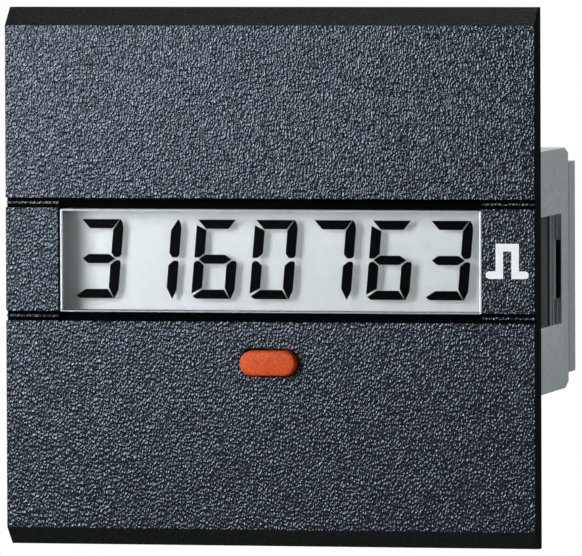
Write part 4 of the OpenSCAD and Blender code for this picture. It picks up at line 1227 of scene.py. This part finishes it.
@dataclass
class RearBody:
    """The grey housing and its cover, with their edges softened."""

    edge: float = 0.06
    shortest: float = 0.45
    recess: tuple[Pair, Pair, float] = ((20.0, 22.46), (13.0, 18.2), 4.95)

    def build(self) -> None:
        """Builds the housing and the cover; the recess round each hook gets a darker grey, painted shade."""
        (inner, outer), (near, far), half = self.recess
        for node, name, finish, slot in (
                ("rear_housing", "housing_shell", Finishes.HOUSING, "housing_grey"),
                ("rear_cover", "cover_shell", Finishes.COVER, "cover_grey")):
            form = Form.merged_copy(
                node, finish, Finishes.HOUSING_SHADE, radius=self.edge, shortest=self.shortest)
            # painted shade: faces in the recess round each hook take the darker grey
            form.mark(lambda at, _: inner < abs(at.x) < outer and near < at.y < far and abs(at.z) < half,
                      Finishes.HOUSING_SHADE)
            form.finish(name, (node,), slot)


@dataclass
class Terminals:
    """The blade terminals, with softened edges."""

    count: int = 6
    edge: float = 0.08
    shortest: float = 0.5

    def build(self) -> None:
        """Builds each blade."""
        for number in range(1, self.count + 1):
            node = f"terminal_blade_{number}"
            form = Form.merged_copy(node, Finishes.BLADE, radius=self.edge, shortest=self.shortest)
            form.finish(f"blade_tab_{number}", (node,), "blade_tinned")


# --- studio


def away(azimuth: float, elevation: float) -> Vector:
    """The direction from the meter to a light or the camera.

    Args:
        azimuth: Angle to the viewer's right, from straight in front.
        elevation: Angle upwards.

    Returns:
        The direction, as a unit vector.
    """
    turn, tilt = math.radians(azimuth), math.radians(elevation)
    return Vector((math.sin(turn) * math.cos(tilt), -math.cos(turn) * math.cos(tilt), math.sin(tilt)))


@dataclass(frozen=True)
class Softbox:
    """A rectangular area light that faces the meter."""

    name: str
    azimuth: float
    elevation: float
    distance: float
    width: float
    height: float
    power: float
    colour: Colour = (0.96, 1.0, 1.03)

    def build(self) -> None:
        """Hangs the light."""
        lamp = bpy.data.lights.new(self.name, "AREA")
        lamp.shape = "RECTANGLE"
        lamp.size, lamp.size_y = self.width * MM, self.height * MM
        lamp.energy, lamp.color = self.power, self.colour
        light = add_object(self.name, lamp)
        direction = away(self.azimuth, self.elevation)
        light.location = direction * self.distance * MM
        light.rotation_euler = direction.to_track_quat("Z", "Y").to_euler()
        light.visible_camera = False


@dataclass
class Studio:
    """Floor, backdrop, lights and the camera that took the photograph."""

    azimuth: float = 12.15
    elevation: float = 2.7
    roll: float = -0.22
    distance: float = 917.0
    focal_px: float = 10300.0
    sensor: float = 36.0
    clip_m: Pair = (0.05, 100.0)
    target: Point = (1.34, 0.0, -0.14)
    floor_z: float = -150.0
    floor_size: float = 30000.0
    floor_grey: float = 0.75
    fill: float = 0.012
    bounces: int = 24
    softboxes: tuple[Softbox, ...] = (
        Softbox("key_left", -35.7, 13.75, 130.0, 50.8, 82.8, 0.212),
        Softbox("fill_right", 30.0, 12.0, 300.0, 160.0, 160.0, 0.105),
        Softbox("top_light", 180.0, 50.0, 300.0, 240.0, 200.0, 0.9),
        Softbox("side_light", 104.0, 8.0, 350.0, 200.0, 200.0, 0.31))

    def build(self) -> None:
        """Sets up the whole studio."""
        self._camera()
        self._floor()
        self._world()
        for softbox in self.softboxes:
            softbox.build()
        bpy.context.scene.view_settings.view_transform = "Standard"
        bpy.context.scene.cycles.transparent_max_bounces = self.bounces

    def _camera(self) -> None:
        """Places the camera at the photograph's viewpoint."""
        turn, roll = math.radians(self.azimuth), math.radians(self.roll)
        back = away(self.azimuth, self.elevation)
        right = Vector((math.cos(turn), math.sin(turn), 0.0))
        up = back.cross(right)
        turned_right = right * math.cos(roll) + up * math.sin(roll)
        turned_up = up * math.cos(roll) - right * math.sin(roll)
        lens = bpy.data.cameras.new("photo_camera")
        lens.sensor_fit, lens.sensor_width = "HORIZONTAL", self.sensor
        lens.lens = self.sensor * self.focal_px / PHOTO_WIDTH_PX
        lens.clip_start, lens.clip_end = self.clip_m
        camera = add_object("photo_camera", lens)
        place = (Vector(self.target) + back * self.distance) * MM
        axes = Matrix((turned_right, turned_up, back)).transposed()
        camera.matrix_world = Matrix.Translation(place) @ axes.to_4x4()
        bpy.context.scene.camera = camera

    def _floor(self) -> None:
        """Lays a plain pale floor far below the meter."""
        bm = bmesh.new()
        bmesh.ops.create_grid(bm, x_segments=1, y_segments=1, size=self.floor_size * MM / 2,
                              matrix=Matrix.Translation((0.0, 0.0, self.floor_z * MM)))
        mesh = bpy.data.meshes.new("studio_floor")
        bm.to_mesh(mesh)
        bm.free()
        material = bpy.data.materials.new("studio_floor_pale")
        material.use_nodes = True
        sketch = Sketch(material.node_tree)
        matt = sketch.node("BsdfDiffuse", {"Color": (self.floor_grey,) * 3})
        glow = sketch.node("Emission", {"Color": (1.0, 1.0, 1.0), "Strength": 1.0})
        seen = sketch.node("LightPath").outputs["Is Camera Ray"]
        mixed = sketch.node("MixShader", {0: seen, 1: matt.outputs[0], 2: glow.outputs[0]})
        sketch.node("OutputMaterial", {"Surface": mixed.outputs[0]})
        mesh.materials.append(material)
        floor = add_object("studio_floor", mesh)

    def _world(self) -> None:
        """Makes the backdrop white to the eye and a dim fill to the meter."""
        world = bpy.data.worlds.new("studio_backdrop")
        world.use_nodes = True
        bpy.context.scene.world = world
        sketch = Sketch(world.node_tree)
        seen = sketch.node("LightPath").outputs["Is Camera Ray"]
        strength = sketch.span(seen, 0.0, 1.0, self.fill, 1.0)
        sky = sketch.node("Background", {"Color": (1.0, 1.0, 1.0), "Strength": strength})
        sketch.node("OutputWorld", {"Surface": sky.outputs[0]})


def main() -> None:
    """Builds the meter and its studio in order."""
    logging.basicConfig(level=logging.INFO, format="%(name)s: %(message)s")
    for part in (FrontBezel(), Lens(), Digits(), DisplayStack(), ResetKey(), DisplayBoard(), SupplyBoard(),
                 RearBody(), Terminals(), Studio()):
        LOG.info("building %s", type(part).__name__)
        part.build()


if __name__ == "__main__":
    main()
